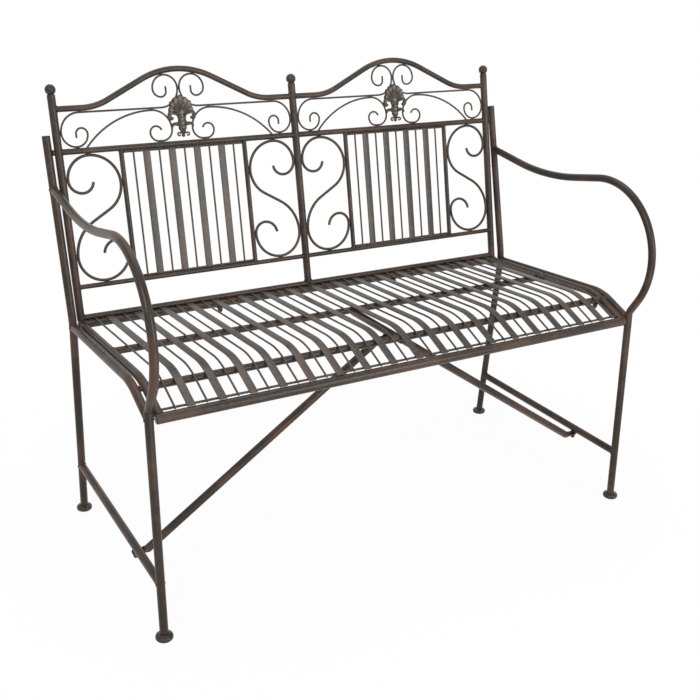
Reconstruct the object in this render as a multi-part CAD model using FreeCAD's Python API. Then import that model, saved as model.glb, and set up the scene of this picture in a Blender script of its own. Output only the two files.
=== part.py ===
import FreeCAD, Part
import math
import os

# Two-seat garden bench of bent and welded steel: two bolted side frames, a slatted seat panel,
# a backrest with scrolls and a cast shell in each bay, and two braces under the seat.
# Millimetres and degrees. +X is to the right as seen from the front, -Y is the front, +Z is up.

# Side frames
side_frame_x = 540.0        # centre plane of a side frame from the middle of the bench
frame_tube = 16.0           # legs, uprights, bearers, armrests, stretchers and braces
front_foot_y = -480.0
front_leg_top_y = -461.5
rear_foot_y = 24.0
rear_bend_y = -14.0         # where the rear leg turns into the upright, level with the seat's back
rear_bend_radius = 120.0
upright_rise = 359.0        # height of the upright's top above its bend
stretcher_z = 113.5
cap_thick = 2.5
cap_chamfer = 0.8
foot_width = 33.0
foot_height = 11.5
foot_base = 30.0            # width of the flat that stands on the ground
foot_belly_up = 4.0         # height of the widest place
foot_rim = 30.4             # top edge of the side wall
foot_rim_up = 8.2
foot_lip = 0.5              # crown of the foot beyond the leg's tube

# Armrests, as the centre line of the tube in the side frame's plane
arm_start_drop = 4.0        # where the arm lands on the front leg, below the seat's back
arm_start_lean = 32.1       # forward from straight up
arm_start_run = 37.4
arm_bulge_radius = 154.0
arm_dip_y = -152.0
arm_dip_rise = 229.3        # above the seat's back
arm_dip_radius = 600.0
arm_root_rise = 259.0       # where the arm meets the upright, above the seat's back

# Seat, as the centre line of the flat slats
seat_back_z = 450.0         # height of that line at the back
seat_rise = 3.9
seat_corner_y = -376.0
seat_drop = 22.6
seat_bend_radius = 130.0
slat_width = 15.5
slat_thick = 3.0
slat_count = 17
slat_edge_gap = 19.3        # from the side rail to the middle of the outermost round slat
thin_rod = 4.0
panel_tube = 16.0           # posts of the backrest, side rails and back rail of the seat
front_rail = 19.0
back_rail_y = -7.0
front_rail_y = -461.0
front_crossbar_y = -394.0
rear_crossbar_y = -206.0
crossbar = 14.0
centre_bar = 16.0           # between the crossbars, over the upper ends of the braces
centre_bar_drop = 5.0       # its middle below the line between the crossbars
edge_rod_set = 10.8         # edge rod along the slats from the middle of the rail beside it
slat_nose_gap = 4.0         # how far a slat ends behind the middle of the front rail
slat_tail_gap = 0.5         # clear space between the slats and the bottom rail of the backrest

# Backrest, with heights measured up its lean from the bottom rail's centre
frame_gap = 4.0             # spacer between a side frame and the panel bolted inside it
back_tilt = 11.5
back_seat_angle = 29.6      # where the bottom rail sits on the seat's back rail, from straight up
bottom_rail = 12.0
lower_rail = 10.0
mid_rail = 12.0
arch_tube = 12.0
lower_rail_up = 62.0
panel_rise = 268.0          # lower rail to mid rail
crown_band = 82.5           # mid rail to the foot of the arch
arch_rise = 67.5
arch_crown_radius = 170.0
arch_foot_radius = 120.0
arch_flat = 56.0            # straight end of the arch, from the middle of the post
post_over = 26.5            # top of a post above the foot of the arch
finial_ball = 21.0
finial_neck = 12.0

# Slatted panel in each bay of the backrest
panel_bar = 10.0
panel_bar_out = 135.3       # centre of a panel bar from the middle of its bay
panel_edge_gap = 20.3       # from the bar to the middle of the outermost thin rod
panel_slats = 4

# Side scrolls, an S of one wire
side_wire = 6.0
side_upper_radius = 59.0
side_upper_curl = 27.0
side_upper_tip = 23.0
side_link = 43.0            # straight between the two halves of the S
side_lower_radius = 51.0
side_lower_curl = 24.0
side_lower_tip = 27.0
side_tip_turn = 85.0

# Crown scrolls under the arch
crown_wire = 4.0
crown_fall_radius = 38.0
crown_top_curl = 17.0
crown_top_eye = 11.0
crown_top_end = 10.0
crown_drop_radius = 38.5
crown_foot_curl = 24.0
crown_foot_eye = 12.0
crown_foot_tip = 11.0
crown_foot_end = 8.0
crown_bow_radius = 184.0
crown_shoulder = 40.0       # from the top of a bow round to its eye
crown_eye_out = 22.5        # nearest point of a bow's eye to the middle of the bay
crown_eye_run = 8.0         # straight that lies along the mid rail
crown_eye_curl = 17.0
crown_eye_inner = 13.0
crown_eye_tip = 12.0
crown_eye_turn = 75.0

# Cast shell: a fan of ribs over a turned stem, with heights above the mid rail's centre
shell_ribs = 9
shell_base_up = 56.0
shell_crown = 38.0          # reach of the middle rib
shell_side = 29.5           # reach of the lowest rib
shell_thick = 7.0
rib_root = 2.4
rib_tip = 5.6
hub_ball = 16.0
stem_foot_up = 13.0
knob_ball = 8.4
stem_neck = 5.2
stem_belly = 17.2
stem_waist = 14.4
stem_shoulder = 18.8
stem_top = 13.0
belly_up = 30.0
waist_up = 36.0
shoulder_up = 46.0
shell_arm = 5.2             # pair of arms that reach the eyes of the lower scrolls
shell_arm_up = 40.0
volute_ring = 10.4
volute_tube = 4.8
volute_drop = 5.0           # centre of a volute below the base of the ribs
foot_ring = 7.0
foot_ring_tube = 3.2
foot_ring_out = 10.5
foot_ring_up = 20.0
foot_tie = 2.4              # thickness of the web from the stem to its rings

# Braces
brace_y = -338.0
brace_tab_width = 17.0
brace_tab_thick = 3.0
brace_tab_inner = 10.0      # flat tab from the bolt to the start of the press
brace_overhang = 7.0        # flat tab beyond the bolt
brace_tab_corner = 6.0
brace_flatten_run = 16.0    # length over which the tube is pressed flat
brace_low_sag = 9.2         # lower tab lies along the top of the tube
brace_high_lift = 4.0       # upper tab lies along the underside of the tube
brace_hang = 3.5            # washer between the stretcher and the lower tab
brace_seat_gap = 0.3        # under the centre bar, which slopes a little

# Fasteners and fits
bolt_shank = 6.0
bolt_hole_play = 0.4
bolt_head = 12.0
bolt_head_rise = 3.6
cap_width = 10.5            # round cap of a bolt that hangs or stands clear of its tube
cap_length = 12.0
cap_washer = 14.0
cap_washer_thick = 1.6
cap_clear = 0.5             # between the washer of a seat bolt and the side rail
spacer_width = 11.5         # between a panel and its side frame
blind_depth = 8.0           # bolt run into the tube that holds its thread
weld_gap = 0.1              # left where two round faces only touch along a line
back_bolt_x = 222.0

point = FreeCAD.Vector
across = point(1, 0, 0)
upward = point(0, 0, 1)
origin = point(0, 0, 0)
parts = {}


def turned(vector, degrees):
    return FreeCAD.Rotation(upward, degrees).multVec(vector)


def heading_of(vector):
    return math.degrees(math.atan2(vector.y, vector.x))


def side_place(x):
    # Plane of a side frame: drawing across is +Y, drawing up is +Z
    return FreeCAD.Placement(point(x, 0, 0), FreeCAD.Rotation(point(1, 1, 1), 120))


def placed(shape, placement):
    copy = shape.copy()
    copy.Placement = placement.multiply(copy.Placement)
    return copy


def mirrored(shape, x=0.0):
    return shape.mirror(point(x, 0, 0), across)


def group(shapes):
    return Part.makeCompound(shapes)


def walk(start, heading, steps):
    # A run is (length, 0) and a bend is (radius, degrees), where a positive bend turns left
    edges = []
    for size, bend in steps:
        ahead = turned(across, heading)
        if bend == 0:
            end = start + ahead * size
            edges.append(Part.LineSegment(start, end).toShape())
        else:
            centre = start + turned(ahead, math.copysign(90, bend)) * size
            middle = centre + turned(start - centre, bend / 2)
            end = centre + turned(start - centre, bend)
            edges.append(Part.Arc(start, middle, end).toShape())
            heading += bend
        start = end
    return edges


def rounded(before, corner, after, radius):
    # Two straight runs with their corner rounded
    back = (before - corner).normalize()
    ahead = (after - corner).normalize()
    half = back.getAngle(ahead) / 2
    enter = corner + back * (radius / math.tan(half))
    leave = corner + ahead * (radius / math.tan(half))
    middle = corner + (back + ahead).normalize() * (radius / math.sin(half) - radius)
    return [Part.LineSegment(before, enter).toShape(), Part.Arc(enter, middle, leave).toShape(),
            Part.LineSegment(leave, after).toShape()]


def outline_face(edges):
    return Part.Face(Part.Wire(Part.__sortEdges__(edges)))


def touch_from(start, centre, radius):
    # Point where a straight from start touches the upper side of a circle
    gap = start - centre
    lean = math.degrees(math.acos(radius / gap.Length))
    return centre + turned(gap.normalize(), lean) * radius


def swept(edges, width):
    # Round tube along a line of straight runs and tangent bends
    path = Part.Wire(Part.__sortEdges__(edges))
    first = path.OrderedEdges[0]
    start = path.OrderedVertexes[0].Point
    ahead = first.tangentAt(first.getParameterByLength(0))
    ring = Part.Wire(Part.makeCircle(width / 2, start, ahead))
    return path.makePipeShell([ring], True, False)


def bar(start, end, width):
    return Part.makeCylinder(width / 2, (end - start).Length, start, end - start)


def turned_solid(edges, start, axis):
    # Outline of (radius, height) spun about the axis through start
    solid = outline_face(edges).revolve(origin, point(0, 1, 0), 360)
    return placed(solid, FreeCAD.Placement(start, FreeCAD.Rotation(point(0, 1, 0), axis)))


# Seat line: rises to the front, then turns down over the front rail
def seat_run_point(y, below):
    # Point under the rising stretch, square to it
    lean = math.radians(seat_rise)
    down = point(-math.sin(lean), -math.cos(lean), 0)
    return point(y, seat_back_z - y * math.tan(lean), 0) + down * below


def seat_nose_point(y, below):
    # Point under the falling stretch, square to it
    lean = math.radians(seat_drop)
    corner = seat_run_point(seat_corner_y, 0)
    down = point(math.sin(lean), -math.cos(lean), 0)
    return point(y, corner.y + (y - seat_corner_y) * math.tan(lean), 0) + down * below


def seat_line(below, back_y, nose_y):
    # The seat line lowered by a set depth, from the back to the front
    half = math.radians((seat_rise + seat_drop) / 2)
    lean = math.radians((seat_drop - seat_rise) / 2)
    down = point(math.sin(lean), -math.cos(lean), 0)
    corner = seat_run_point(seat_corner_y, 0) + down * (below / math.cos(half))
    return rounded(seat_run_point(back_y, below), corner, seat_nose_point(nose_y, below),
                   seat_bend_radius - below)


def height_on(edges, y):
    # Point of a side drawing's line at a given place along the bench's depth
    plumb = Part.makeLine(point(y, 0, 0), point(y, 2 * seat_back_z, 0))
    return Part.Wire(edges).distToShape(plumb)[1][0][0]


# Places shared by pieces that meet
panel_x = side_frame_x - (frame_tube + panel_tube) / 2 - frame_gap
bay_x = panel_x / 2
rail_depth = (panel_tube + slat_thick) / 2
back_rail_at = seat_run_point(back_rail_y, rail_depth + weld_gap)
front_rail_depth = (front_rail + slat_thick) / 2 + weld_gap
nose_touch_y = front_rail_y - front_rail_depth * math.sin(math.radians(seat_drop))
front_rail_at = seat_nose_point(nose_touch_y, front_rail_depth)
crossbar_depth = (crossbar + slat_thick) / 2 + weld_gap
rear_cross_at = seat_run_point(rear_crossbar_y, crossbar_depth)
front_cross_at = height_on(seat_line(crossbar_depth, back_rail_y, nose_touch_y), front_crossbar_y)
front_stud_at = height_on(seat_line(rail_depth, back_rail_y, front_rail_y), front_crossbar_y)

rail_reach = (bottom_rail + panel_tube) / 2 + weld_gap
back_at = back_rail_at + turned(point(0, 1, 0), -back_seat_angle) * rail_reach
back_place = FreeCAD.Placement(point(0, back_at.x, back_at.y), FreeCAD.Rotation(across, 90 - back_tilt))
slat_back_y = back_at.x - bottom_rail / 2 - slat_tail_gap
mid_rail_up = lower_rail_up + panel_rise
arch_foot_up = mid_rail_up + crown_band
arch_apex_up = arch_foot_up + arch_rise
post_top_up = arch_foot_up + post_over
crown_line_up = arch_foot_up - (arch_tube + crown_wire) / 2 - weld_gap


def on_back(out, up):
    return back_place.multVec(point(out, up, 0))


rear_bend = point(rear_bend_y, seat_back_z, 0)
lean_at = on_back(panel_x, mid_rail_up)
upright_way = (point(lean_at.y, lean_at.z, 0) - rear_bend).normalize()
rear_foot = point(rear_foot_y, 0, 0)
front_foot = point(front_foot_y, 0, 0)
leg_top = point(front_leg_top_y, seat_back_z - arm_start_drop, 0)


def cross_tube(at, reach, width):
    # Tube across the bench at a point of the side drawing
    return bar(point(-reach, at.x, at.y), point(reach, at.x, at.y), width)


def between(start, end, height):
    # Point of a straight in the side drawing at a given height
    return start + (end - start) * ((height - start.y) / (end.y - start.y))


# Side frames
def upright_top():
    return between(rear_bend, rear_bend + upright_way, seat_back_z + upright_rise)


def rear_upright(width):
    # Leg and upright from one bent tube
    foot = between(rear_foot, rear_bend, foot_height / 2)
    shoulder = upright_top() - upright_way * cap_thick
    return swept(rounded(foot, rear_bend, shoulder, rear_bend_radius), width)


def upright_cap():
    # Flat plug in the top of the upright
    top = upright_top()
    cap = bar(top - upright_way * cap_thick, top, frame_tube)
    rim = [edge for edge in cap.Edges if edge.CenterOfMass.isEqual(top, weld_gap)]
    return cap.makeChamfer(cap_chamfer, rim)


def front_leg(width):
    foot = between(front_foot, leg_top, foot_height / 2)
    return bar(foot, leg_top + (leg_top - foot).normalize() * arm_start_drop, width)


def armrest():
    # Up from the leg, round the front bulge, down into the dip and up to the upright
    heading = 90 + arm_start_lean
    ahead = turned(across, heading)
    enter = leg_top + ahead * arm_start_run
    centre = enter + turned(ahead, -90) * arm_bulge_radius
    dip = point(arm_dip_y, seat_back_z + arm_dip_rise, 0)
    root = between(rear_bend, rear_bend + upright_way, seat_back_z + arm_root_rise)
    leave = touch_from(dip, centre, arm_bulge_radius)
    turn = heading_of(enter - centre) % 360 - heading_of(leave - centre)
    bulge = walk(leg_top, heading, [(arm_start_run, 0), (arm_bulge_radius, -turn)])
    return swept(bulge + rounded(leave, dip, root, arm_dip_radius), frame_tube)


def bun_foot(y):
    # Flat base, round side wall and a top that rises a little to the leg
    base = point(foot_base / 2, 0, 0)
    belly = point(foot_width / 2, foot_belly_up, 0)
    rim = point(foot_rim / 2, foot_rim_up, 0)
    crown = point(frame_tube / 2 + foot_lip, foot_height, 0)
    edges = Part.makePolygon([rim, crown, point(0, foot_height, 0), origin, base]).Edges
    edges.append(Part.Arc(base, belly, rim).toShape())
    return turned_solid(edges, point(side_frame_x, y, 0), upward)


def build_side_frames():
    place = side_place(side_frame_x)
    room = frame_tube + 2 * weld_gap
    leg_room = placed(front_leg(room), place)
    upright_room = placed(rear_upright(room), place)
    front = bun_foot(front_foot_y)
    rear = bun_foot(rear_foot_y)
    leg = placed(front_leg(frame_tube), place).cut(front)
    upright = placed(rear_upright(frame_tube), place).cut(rear)
    bearer = swept(seat_line(rail_depth, rear_bend_y, front_leg_top_y), frame_tube)
    bearer = placed(bearer, place).cut(upright_room).cut(leg_room)
    arm = placed(armrest(), place).cut(upright_room).cut(leg_room).cut(bearer)
    tie = bar(between(front_foot, leg_top, stretcher_z), between(rear_foot, rear_bend, stretcher_z),
              frame_tube)
    tie = placed(tie, place).cut(upright_room).cut(leg_room)
    cap = placed(upright_cap(), place)
    frame = {"upright": upright, "front_leg": leg, "seat_bearer": bearer, "armrest": arm,
             "stretcher": tie, "front_foot": front, "rear_foot": rear}
    for name, shape in frame.items():
        parts["right_" + name] = shape
        parts["left_" + name] = mirrored(shape)
    parts["upright_caps"] = group([cap, mirrored(cap)])


# Seat panel
def flat_slat(x):
    nose_y = nose_touch_y + slat_nose_gap
    top = seat_line(-slat_thick / 2, slat_back_y, nose_y)
    under = seat_line(slat_thick / 2, slat_back_y, nose_y)
    ends = [Part.makeLine(top[0].Vertexes[0].Point, under[0].Vertexes[0].Point),
            Part.makeLine(top[-1].Vertexes[-1].Point, under[-1].Vertexes[-1].Point)]
    blank = outline_face(top + under + ends).extrude(upward * slat_width)
    return placed(blank, side_place(x - slat_width / 2))


def round_slat(x):
    line = seat_line((slat_thick - thin_rod) / 2, slat_back_y, nose_touch_y + slat_nose_gap)
    return placed(swept(line, thin_rod), side_place(x))


def back_rail_room():
    # The back rail with the gap that is left at its welds
    return cross_tube(back_rail_at, panel_x + panel_tube / 2, panel_tube + 2 * weld_gap)


def build_seat():
    front = cross_tube(front_rail_at, panel_x + panel_tube / 2, front_rail)
    back = cross_tube(back_rail_at, panel_x + panel_tube / 2, panel_tube)
    side = swept(seat_line(rail_depth, back_rail_y, front_rail_y), panel_tube)
    side = placed(side, side_place(panel_x)).cut(front).cut(back_rail_room())
    sides = side.fuse(mirrored(side))
    front_cross = cross_tube(front_cross_at, panel_x, crossbar).cut(sides)
    rear_cross = cross_tube(rear_cross_at, panel_x, crossbar).cut(sides)
    drop = point(0, -centre_bar_drop, 0)
    centre = placed(bar(rear_cross_at + drop, front_cross_at + drop, centre_bar), side_place(0))
    for at in (rear_cross_at, front_cross_at):
        centre = centre.cut(cross_tube(at, panel_x, crossbar + 2 * weld_gap))
    pitch = 2 * (panel_x - panel_tube / 2 - slat_edge_gap) / slat_count
    first = -(slat_count - 1) / 2
    flats = [flat_slat((first + index) * pitch) for index in range(slat_count)]
    rounds = [round_slat((first + index - 0.5) * pitch) for index in range(slat_count + 1)]
    rod_depth = (slat_thick + thin_rod) / 2 + weld_gap
    back_y = back_rail_y - edge_rod_set
    nose_y = nose_touch_y + edge_rod_set
    rods = []
    for at in (seat_run_point(back_y, rod_depth), seat_nose_point(nose_y, rod_depth)):
        rods.append(cross_tube(at, panel_x, thin_rod).cut(sides))
    parts["seat_front_rail"] = front
    parts["seat_back_rail"] = back
    parts["right_seat_side_rail"] = side
    parts["left_seat_side_rail"] = mirrored(side)
    parts["front_crossbar"] = front_cross
    parts["rear_crossbar"] = rear_cross
    parts["seat_centre_bar"] = centre
    parts["seat_flat_slats"] = group(flats)
    parts["seat_round_slats"] = group(rounds)
    parts["seat_edge_rods"] = group(rods)


# Backrest, drawn flat about the middle of the right bay and then leaned back
def arch():
    # Flat at the posts, then an S rise on each side to the crown
    crown = point(bay_x, arch_apex_up - arch_crown_radius, 0)
    foot = point(2 * bay_x - arch_flat, arch_foot_up + arch_foot_radius, 0)
    gap = foot - crown
    both = arch_crown_radius + arch_foot_radius
    lean = 90 - heading_of(gap) - math.degrees(math.acos(both / gap.Length))
    run = math.sqrt(gap.Length ** 2 - both ** 2)
    half = walk(point(bay_x, arch_apex_up, 0), 0,
                [(arch_crown_radius, -lean), (run, 0), (arch_foot_radius, lean), (arch_flat, 0)])
    return placed(swept(half + [mirrored(edge, bay_x) for edge in half], arch_tube), back_place)


def finial(out):
    # Ball on a short neck over the top of a post
    seat = point(panel_tube / 2, 0, 0)
    ball = finial_ball / 2
    neck = point(finial_neck / 2, (panel_tube - finial_neck) / 2, 0)
    middle_up = neck.y + math.sqrt(ball ** 2 - neck.x ** 2)
    top = point(0, middle_up + ball, 0)
    edges = Part.makePolygon([top, origin, seat, neck]).Edges
    edges.append(Part.Arc(neck, point(ball, middle_up, 0), top).toShape())
    return turned_solid(edges, on_back(out, post_top_up), on_back(0, 1) - on_back(0, 0))


def side_scroll():
    # Two curls that touch post, bar and rails, joined by a slanting straight
    wire = side_wire / 2 + weld_gap
    near = bay_x + panel_bar_out + panel_bar / 2 + wire
    far = 2 * bay_x - panel_tube / 2 - wire
    high = mid_rail_up - mid_rail / 2 - wire
    low = lower_rail_up + lower_rail / 2 + wire
    top = point(near + side_upper_radius, high, 0)
    over = far - top.x
    under = far - side_lower_radius - near
    drop = high - side_upper_radius - low - side_lower_radius
    sweep = (over ** 2 + drop ** 2 - side_upper_radius ** 2 - side_link ** 2) \
        / (2 * (over + side_upper_radius))
    gap = point(over - sweep, -drop, 0)
    lean = math.degrees(math.acos((side_upper_radius + sweep) / gap.Length))
    turn = heading_of(gap) % 360 - lean - 90
    tip = [(over, -90), (side_upper_curl, -90), (side_upper_tip, -side_tip_turn)]
    rest = [(side_upper_radius, turn), (side_link, 0), (sweep, 90 - turn), (side_lower_radius, -90),
            (under, -90), (side_lower_curl, -90), (side_lower_tip, -side_tip_turn)]
    return placed(swept(walk(top, 0, tip) + walk(top, 180, rest), side_wire), back_place)


def upper_crown_scroll():
    # From the curl under the arch, down past its mirror twin and along to the curl at the post
    wire = crown_wire / 2 + weld_gap
    waist = point(bay_x + wire, crown_line_up + crown_fall_radius, 0)
    room = arch_crown_radius - arch_tube / 2 - wire
    height = waist.y - (arch_apex_up - arch_crown_radius)
    curl = (room ** 2 - height ** 2 - wire ** 2) / (2 * wire + 2 * room)
    far = 2 * bay_x - panel_tube / 2 - wire
    run = far - crown_drop_radius - waist.x - crown_fall_radius
    under = crown_line_up - crown_drop_radius - (mid_rail_up + mid_rail / 2 + wire)
    tip = [(curl, -180), (crown_top_curl, -90), (crown_top_eye, -90), (crown_top_end, 0)]
    rest = [(crown_fall_radius, 90), (run, 0), (crown_drop_radius, -90), (under, -90),
            (crown_foot_curl, -90), (crown_foot_eye, -90), (crown_foot_tip, -90), (crown_foot_end, 0)]
    return placed(swept(walk(waist, 90, tip) + walk(waist, -90, rest), crown_wire), back_place)


def lower_crown_scroll():
    # Long bow from the mid rail up under the crown line, then in to an eye beside the shell
    top_up = crown_line_up - crown_wire - weld_gap
    eye_up = mid_rail_up + (mid_rail + crown_wire) / 2 + weld_gap
    heel = top_up - eye_up - crown_shoulder
    top = point(bay_x + crown_eye_out + crown_shoulder, top_up, 0)
    bow = math.degrees(math.acos(1 - (top_up - mid_rail_up) / crown_bow_radius))
    tail = [(crown_bow_radius, -bow)]
    eye = [(crown_shoulder, 90), (heel, 90), (crown_eye_run, 0), (crown_eye_curl, 90),
           (crown_eye_inner, 90), (crown_eye_tip, crown_eye_turn)]
    return placed(swept(walk(top, 0, tail) + walk(top, 180, eye), crown_wire), back_place)


def panel_pieces(rails):
    # Bars, edge rods, flat slats and thin rods of one bay
    left = bay_x - panel_bar_out
    right = bay_x + panel_bar_out
    bars = []
    for out in (left, right):
        bars.append(bar(on_back(out, lower_rail_up), on_back(out, mid_rail_up), panel_bar).cut(rails))
    low_up = lower_rail_up + (lower_rail + thin_rod) / 2 + weld_gap
    high_up = mid_rail_up - (mid_rail + thin_rod) / 2 - weld_gap
    rods = []
    rooms = []
    for up in (low_up, high_up):
        rods.append(bar(on_back(left, up), on_back(right, up), thin_rod).cut(group(bars)))
        rooms.append(bar(on_back(left, up), on_back(right, up), thin_rod + 2 * weld_gap))
    pitch = 2 * (panel_bar_out - panel_bar / 2 - panel_edge_gap) / panel_slats
    flats = []
    for index in range(panel_slats):
        out = bay_x + (index - (panel_slats - 1) / 2) * pitch
        corner = point(out - slat_width / 2, low_up, -slat_thick / 2)
        blank = Part.makeBox(slat_width, high_up - low_up, slat_thick, corner)
        flats.append(placed(blank, back_place).cut(group(rooms)))
    rounds = []
    for index in range(panel_slats + 1):
        out = bay_x + (index - panel_slats / 2) * pitch
        rounds.append(bar(on_back(out, low_up), on_back(out, high_up), thin_rod).cut(group(rooms)))
    return {"panel_bars": group(bars), "panel_edge_rods": group(rods),
            "panel_flat_slats": group(flats), "panel_thin_rods": group(rounds)}


def shell_rib(angle):
    # Tapered rib with a round end, longest in the middle of the fan
    reach = shell_side + (shell_crown - shell_side) * math.cos(math.radians(angle)) ** 4
    ahead = turned(point(0, 1, 0), angle)
    root = point(0, shell_base_up, 0)
    tip = root + ahead * (reach - rib_tip)
    cone = Part.makeCone(rib_root, rib_tip, (tip - root).Length, root, ahead)
    return cone.fuse(Part.makeSphere(rib_tip, tip))


def shell_stem():
    # Knob, neck, belly, waist and shoulder turned about the casting's middle line
    knob = knob_ball / 2
    foot = point(0, stem_foot_up, 0)
    neck = point(stem_neck / 2, stem_foot_up + knob + math.sqrt(knob ** 2 - stem_neck ** 2 / 4), 0)
    top = point(stem_top / 2, shell_base_up + rib_root, 0)
    corners = [neck, point(stem_belly / 2, belly_up, 0), point(stem_waist / 2, waist_up, 0),
               point(stem_shoulder / 2, shoulder_up, 0), top, point(0, top.y, 0), foot]
    edges = Part.makePolygon(corners).Edges
    edges.append(Part.Arc(foot, point(knob, stem_foot_up + knob, 0), neck).toShape())
    return outline_face(edges).revolve(origin, point(0, 1, 0), 360)


def cast_shell():
    # Fan of ribs over the stem, with volutes under its sides, a pair of arms and rings at the knob
    step = 180 / (shell_ribs - 1)
    fan = [shell_rib(index * step - 90) for index in range(shell_ribs)]
    tie_out = foot_ring_out - foot_ring / 2
    pieces = [Part.makeSphere(hub_ball / 2, point(0, shell_base_up + rib_tip, 0)), shell_stem(),
              bar(point(-crown_eye_out, shell_arm_up, 0), point(crown_eye_out, shell_arm_up, 0), shell_arm),
              bar(point(-tie_out, foot_ring_up, 0), point(tie_out, foot_ring_up, 0), foot_tie)]
    for side in (-1, 1):
        ring_at = point(side * foot_ring_out, foot_ring_up, 0)
        volute_at = point(side * (shell_side - rib_tip), shell_base_up - volute_drop, 0)
        pieces.append(Part.makeTorus(foot_ring / 2, foot_ring_tube / 2, ring_at))
        pieces.append(Part.makeTorus(volute_ring / 2, volute_tube / 2, volute_at))
    reach = 2 * shell_crown
    front = Part.makeBox(2 * reach, 2 * reach, shell_thick, point(-reach, shell_base_up - reach, 0))
    body = fan[0].multiFuse(fan[1:] + pieces).common(front).removeSplitter()
    lift = FreeCAD.Placement(point(bay_x, mid_rail_up, crown_wire / 2 + weld_gap), FreeCAD.Rotation())
    return placed(placed(body, lift), back_place)


def build_back():
    outer = bar(on_back(panel_x, -bottom_rail / 2), on_back(panel_x, post_top_up), panel_tube)
    outer = outer.cut(back_rail_room()).cut(parts["right_seat_side_rail"])
    bottom = bar(on_back(-panel_x, 0), on_back(panel_x, 0), bottom_rail)
    bottom = bottom.cut(outer).cut(mirrored(outer))
    centre = bar(on_back(0, 0), on_back(0, post_top_up), panel_tube).cut(bottom)
    posts = group([outer, centre])
    lower = bar(on_back(0, lower_rail_up), on_back(panel_x, lower_rail_up), lower_rail).cut(posts)
    middle = bar(on_back(0, mid_rail_up), on_back(panel_x, mid_rail_up), mid_rail).cut(posts)
    scroll = side_scroll()
    upper = upper_crown_scroll()
    bow = lower_crown_scroll().cut(middle)
    bay = panel_pieces(group([lower, middle]))
    bay["arch"] = arch().cut(posts)
    bay["mid_rail"] = middle
    bay["lower_rail"] = lower
    bay["outer_side_scroll"] = scroll
    bay["inner_side_scroll"] = mirrored(scroll, bay_x)
    bay["upper_crown_scrolls"] = group([upper, mirrored(upper, bay_x)])
    bay["lower_crown_scrolls"] = group([bow, mirrored(bow, bay_x)])
    bay["cast_shell"] = cast_shell()
    for name, shape in bay.items():
        parts["right_" + name] = shape
        parts["left_" + name] = mirrored(shape)
    parts["right_post"] = outer
    parts["left_post"] = mirrored(outer)
    parts["centre_post"] = centre
    parts["back_bottom_rail"] = bottom
    parts["finials"] = group([finial(-panel_x), finial(0), finial(panel_x)])


# Braces
low_tab_up = stretcher_z - frame_tube / 2 - brace_hang - brace_tab_thick / 2
brace_share = (brace_y - rear_crossbar_y) / (front_crossbar_y - rear_crossbar_y)
centre_bar_up = rear_cross_at.y + (front_cross_at.y - rear_cross_at.y) * brace_share - centre_bar_drop
high_tab_up = centre_bar_up - (centre_bar + brace_tab_thick) / 2 - brace_seat_gap


def brace_end(end, mouth, away, outward):
    # Pressed stretch from the round tube to a flat tab with rounded corners
    side = brace_tab_width / 2
    rise = brace_tab_thick / 2
    corners = [end + point(0, rise, side), end + point(0, rise, -side),
               end + point(0, -rise, -side), end + point(0, -rise, side)]
    slot = Part.makePolygon(corners + corners[:1])
    ring = Part.Wire(Part.makeCircle(frame_tube / 2, mouth, away))
    length = brace_tab_inner + brace_overhang
    tab = Part.makeBox(length, brace_tab_thick, brace_tab_width, point(0, -rise, -side))
    rims = [edge for edge in tab.Edges
            if edge.CenterOfMass.x > length - weld_gap and abs(edge.CenterOfMass.z) > side - weld_gap]
    tab = tab.makeFillet(brace_tab_corner, rims)
    if outward < 0:
        tab = mirrored(tab)
    return [Part.makeLoft([slot, ring], True, True), placed(tab, FreeCAD.Placement(end, FreeCAD.Rotation()))]


def brace(drop):
    # Tube with both ends pressed flat: one tab under the stretcher, one under the centre bar
    low = point(side_frame_x - brace_tab_inner, low_tab_up, 0)
    high = point(brace_tab_inner, high_tab_up - drop, 0)
    climb = (high - low).normalize()
    start = low + climb * brace_flatten_run - point(0, brace_low_sag, 0)
    end = high - climb * brace_flatten_run + point(0, brace_high_lift, 0)
    way = (end - start).normalize()
    pieces = brace_end(low, start, way, 1) + brace_end(high, end, way * -1, -1)
    solid = bar(start, end, frame_tube).multiFuse(pieces).removeSplitter()
    return placed(solid, FreeCAD.Placement(point(0, brace_y, 0), FreeCAD.Rotation(across, 90)))


# Fasteners, each in a hole drilled through the pieces that it holds
def bolt(start, axis, length):
    # Low dome head with its seat at start
    dome = (bolt_head ** 2 / 4 + bolt_head_rise ** 2) / (2 * bolt_head_rise)
    rim = math.degrees(math.asin(bolt_head / 2 / dome))
    crown = point(0, -bolt_head_rise, 0)
    corners = [point(bolt_head / 2, 0, 0), point(bolt_shank / 2, 0, 0), point(bolt_shank / 2, length, 0),
               point(0, length, 0), crown]
    return turned_solid(walk(crown, 0, [(dome, rim)]) + Part.makePolygon(corners).Edges, start, axis)


def cap_bolt(start, axis, length):
    # Washer with its seat at start, and a round-ended cap behind it
    cap = cap_width / 2
    end = point(0, -cap_length, 0)
    wide = cap_washer / 2
    corners = [point(cap, cap - cap_length, 0), point(cap, -cap_washer_thick, 0),
               point(wide, -cap_washer_thick, 0), point(wide, 0, 0), point(bolt_shank / 2, 0, 0),
               point(bolt_shank / 2, length, 0), point(0, length, 0), end]
    return turned_solid(walk(end, 0, [(cap, 90)]) + Part.makePolygon(corners).Edges, start, axis)


def stud(start, axis, length):
    # Threaded pin without a head
    return bar(start, start + axis.normalize() * length, bolt_shank)


def fastened(make, start, end, names):
    # Bolt seated at start that ends inside the last of the named pieces
    hole = bar(start, end, bolt_shank + bolt_hole_play)
    for name in names:
        parts[name] = parts[name].cut(hole)
    return make(start, end - start, (end - start).Length)


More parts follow.
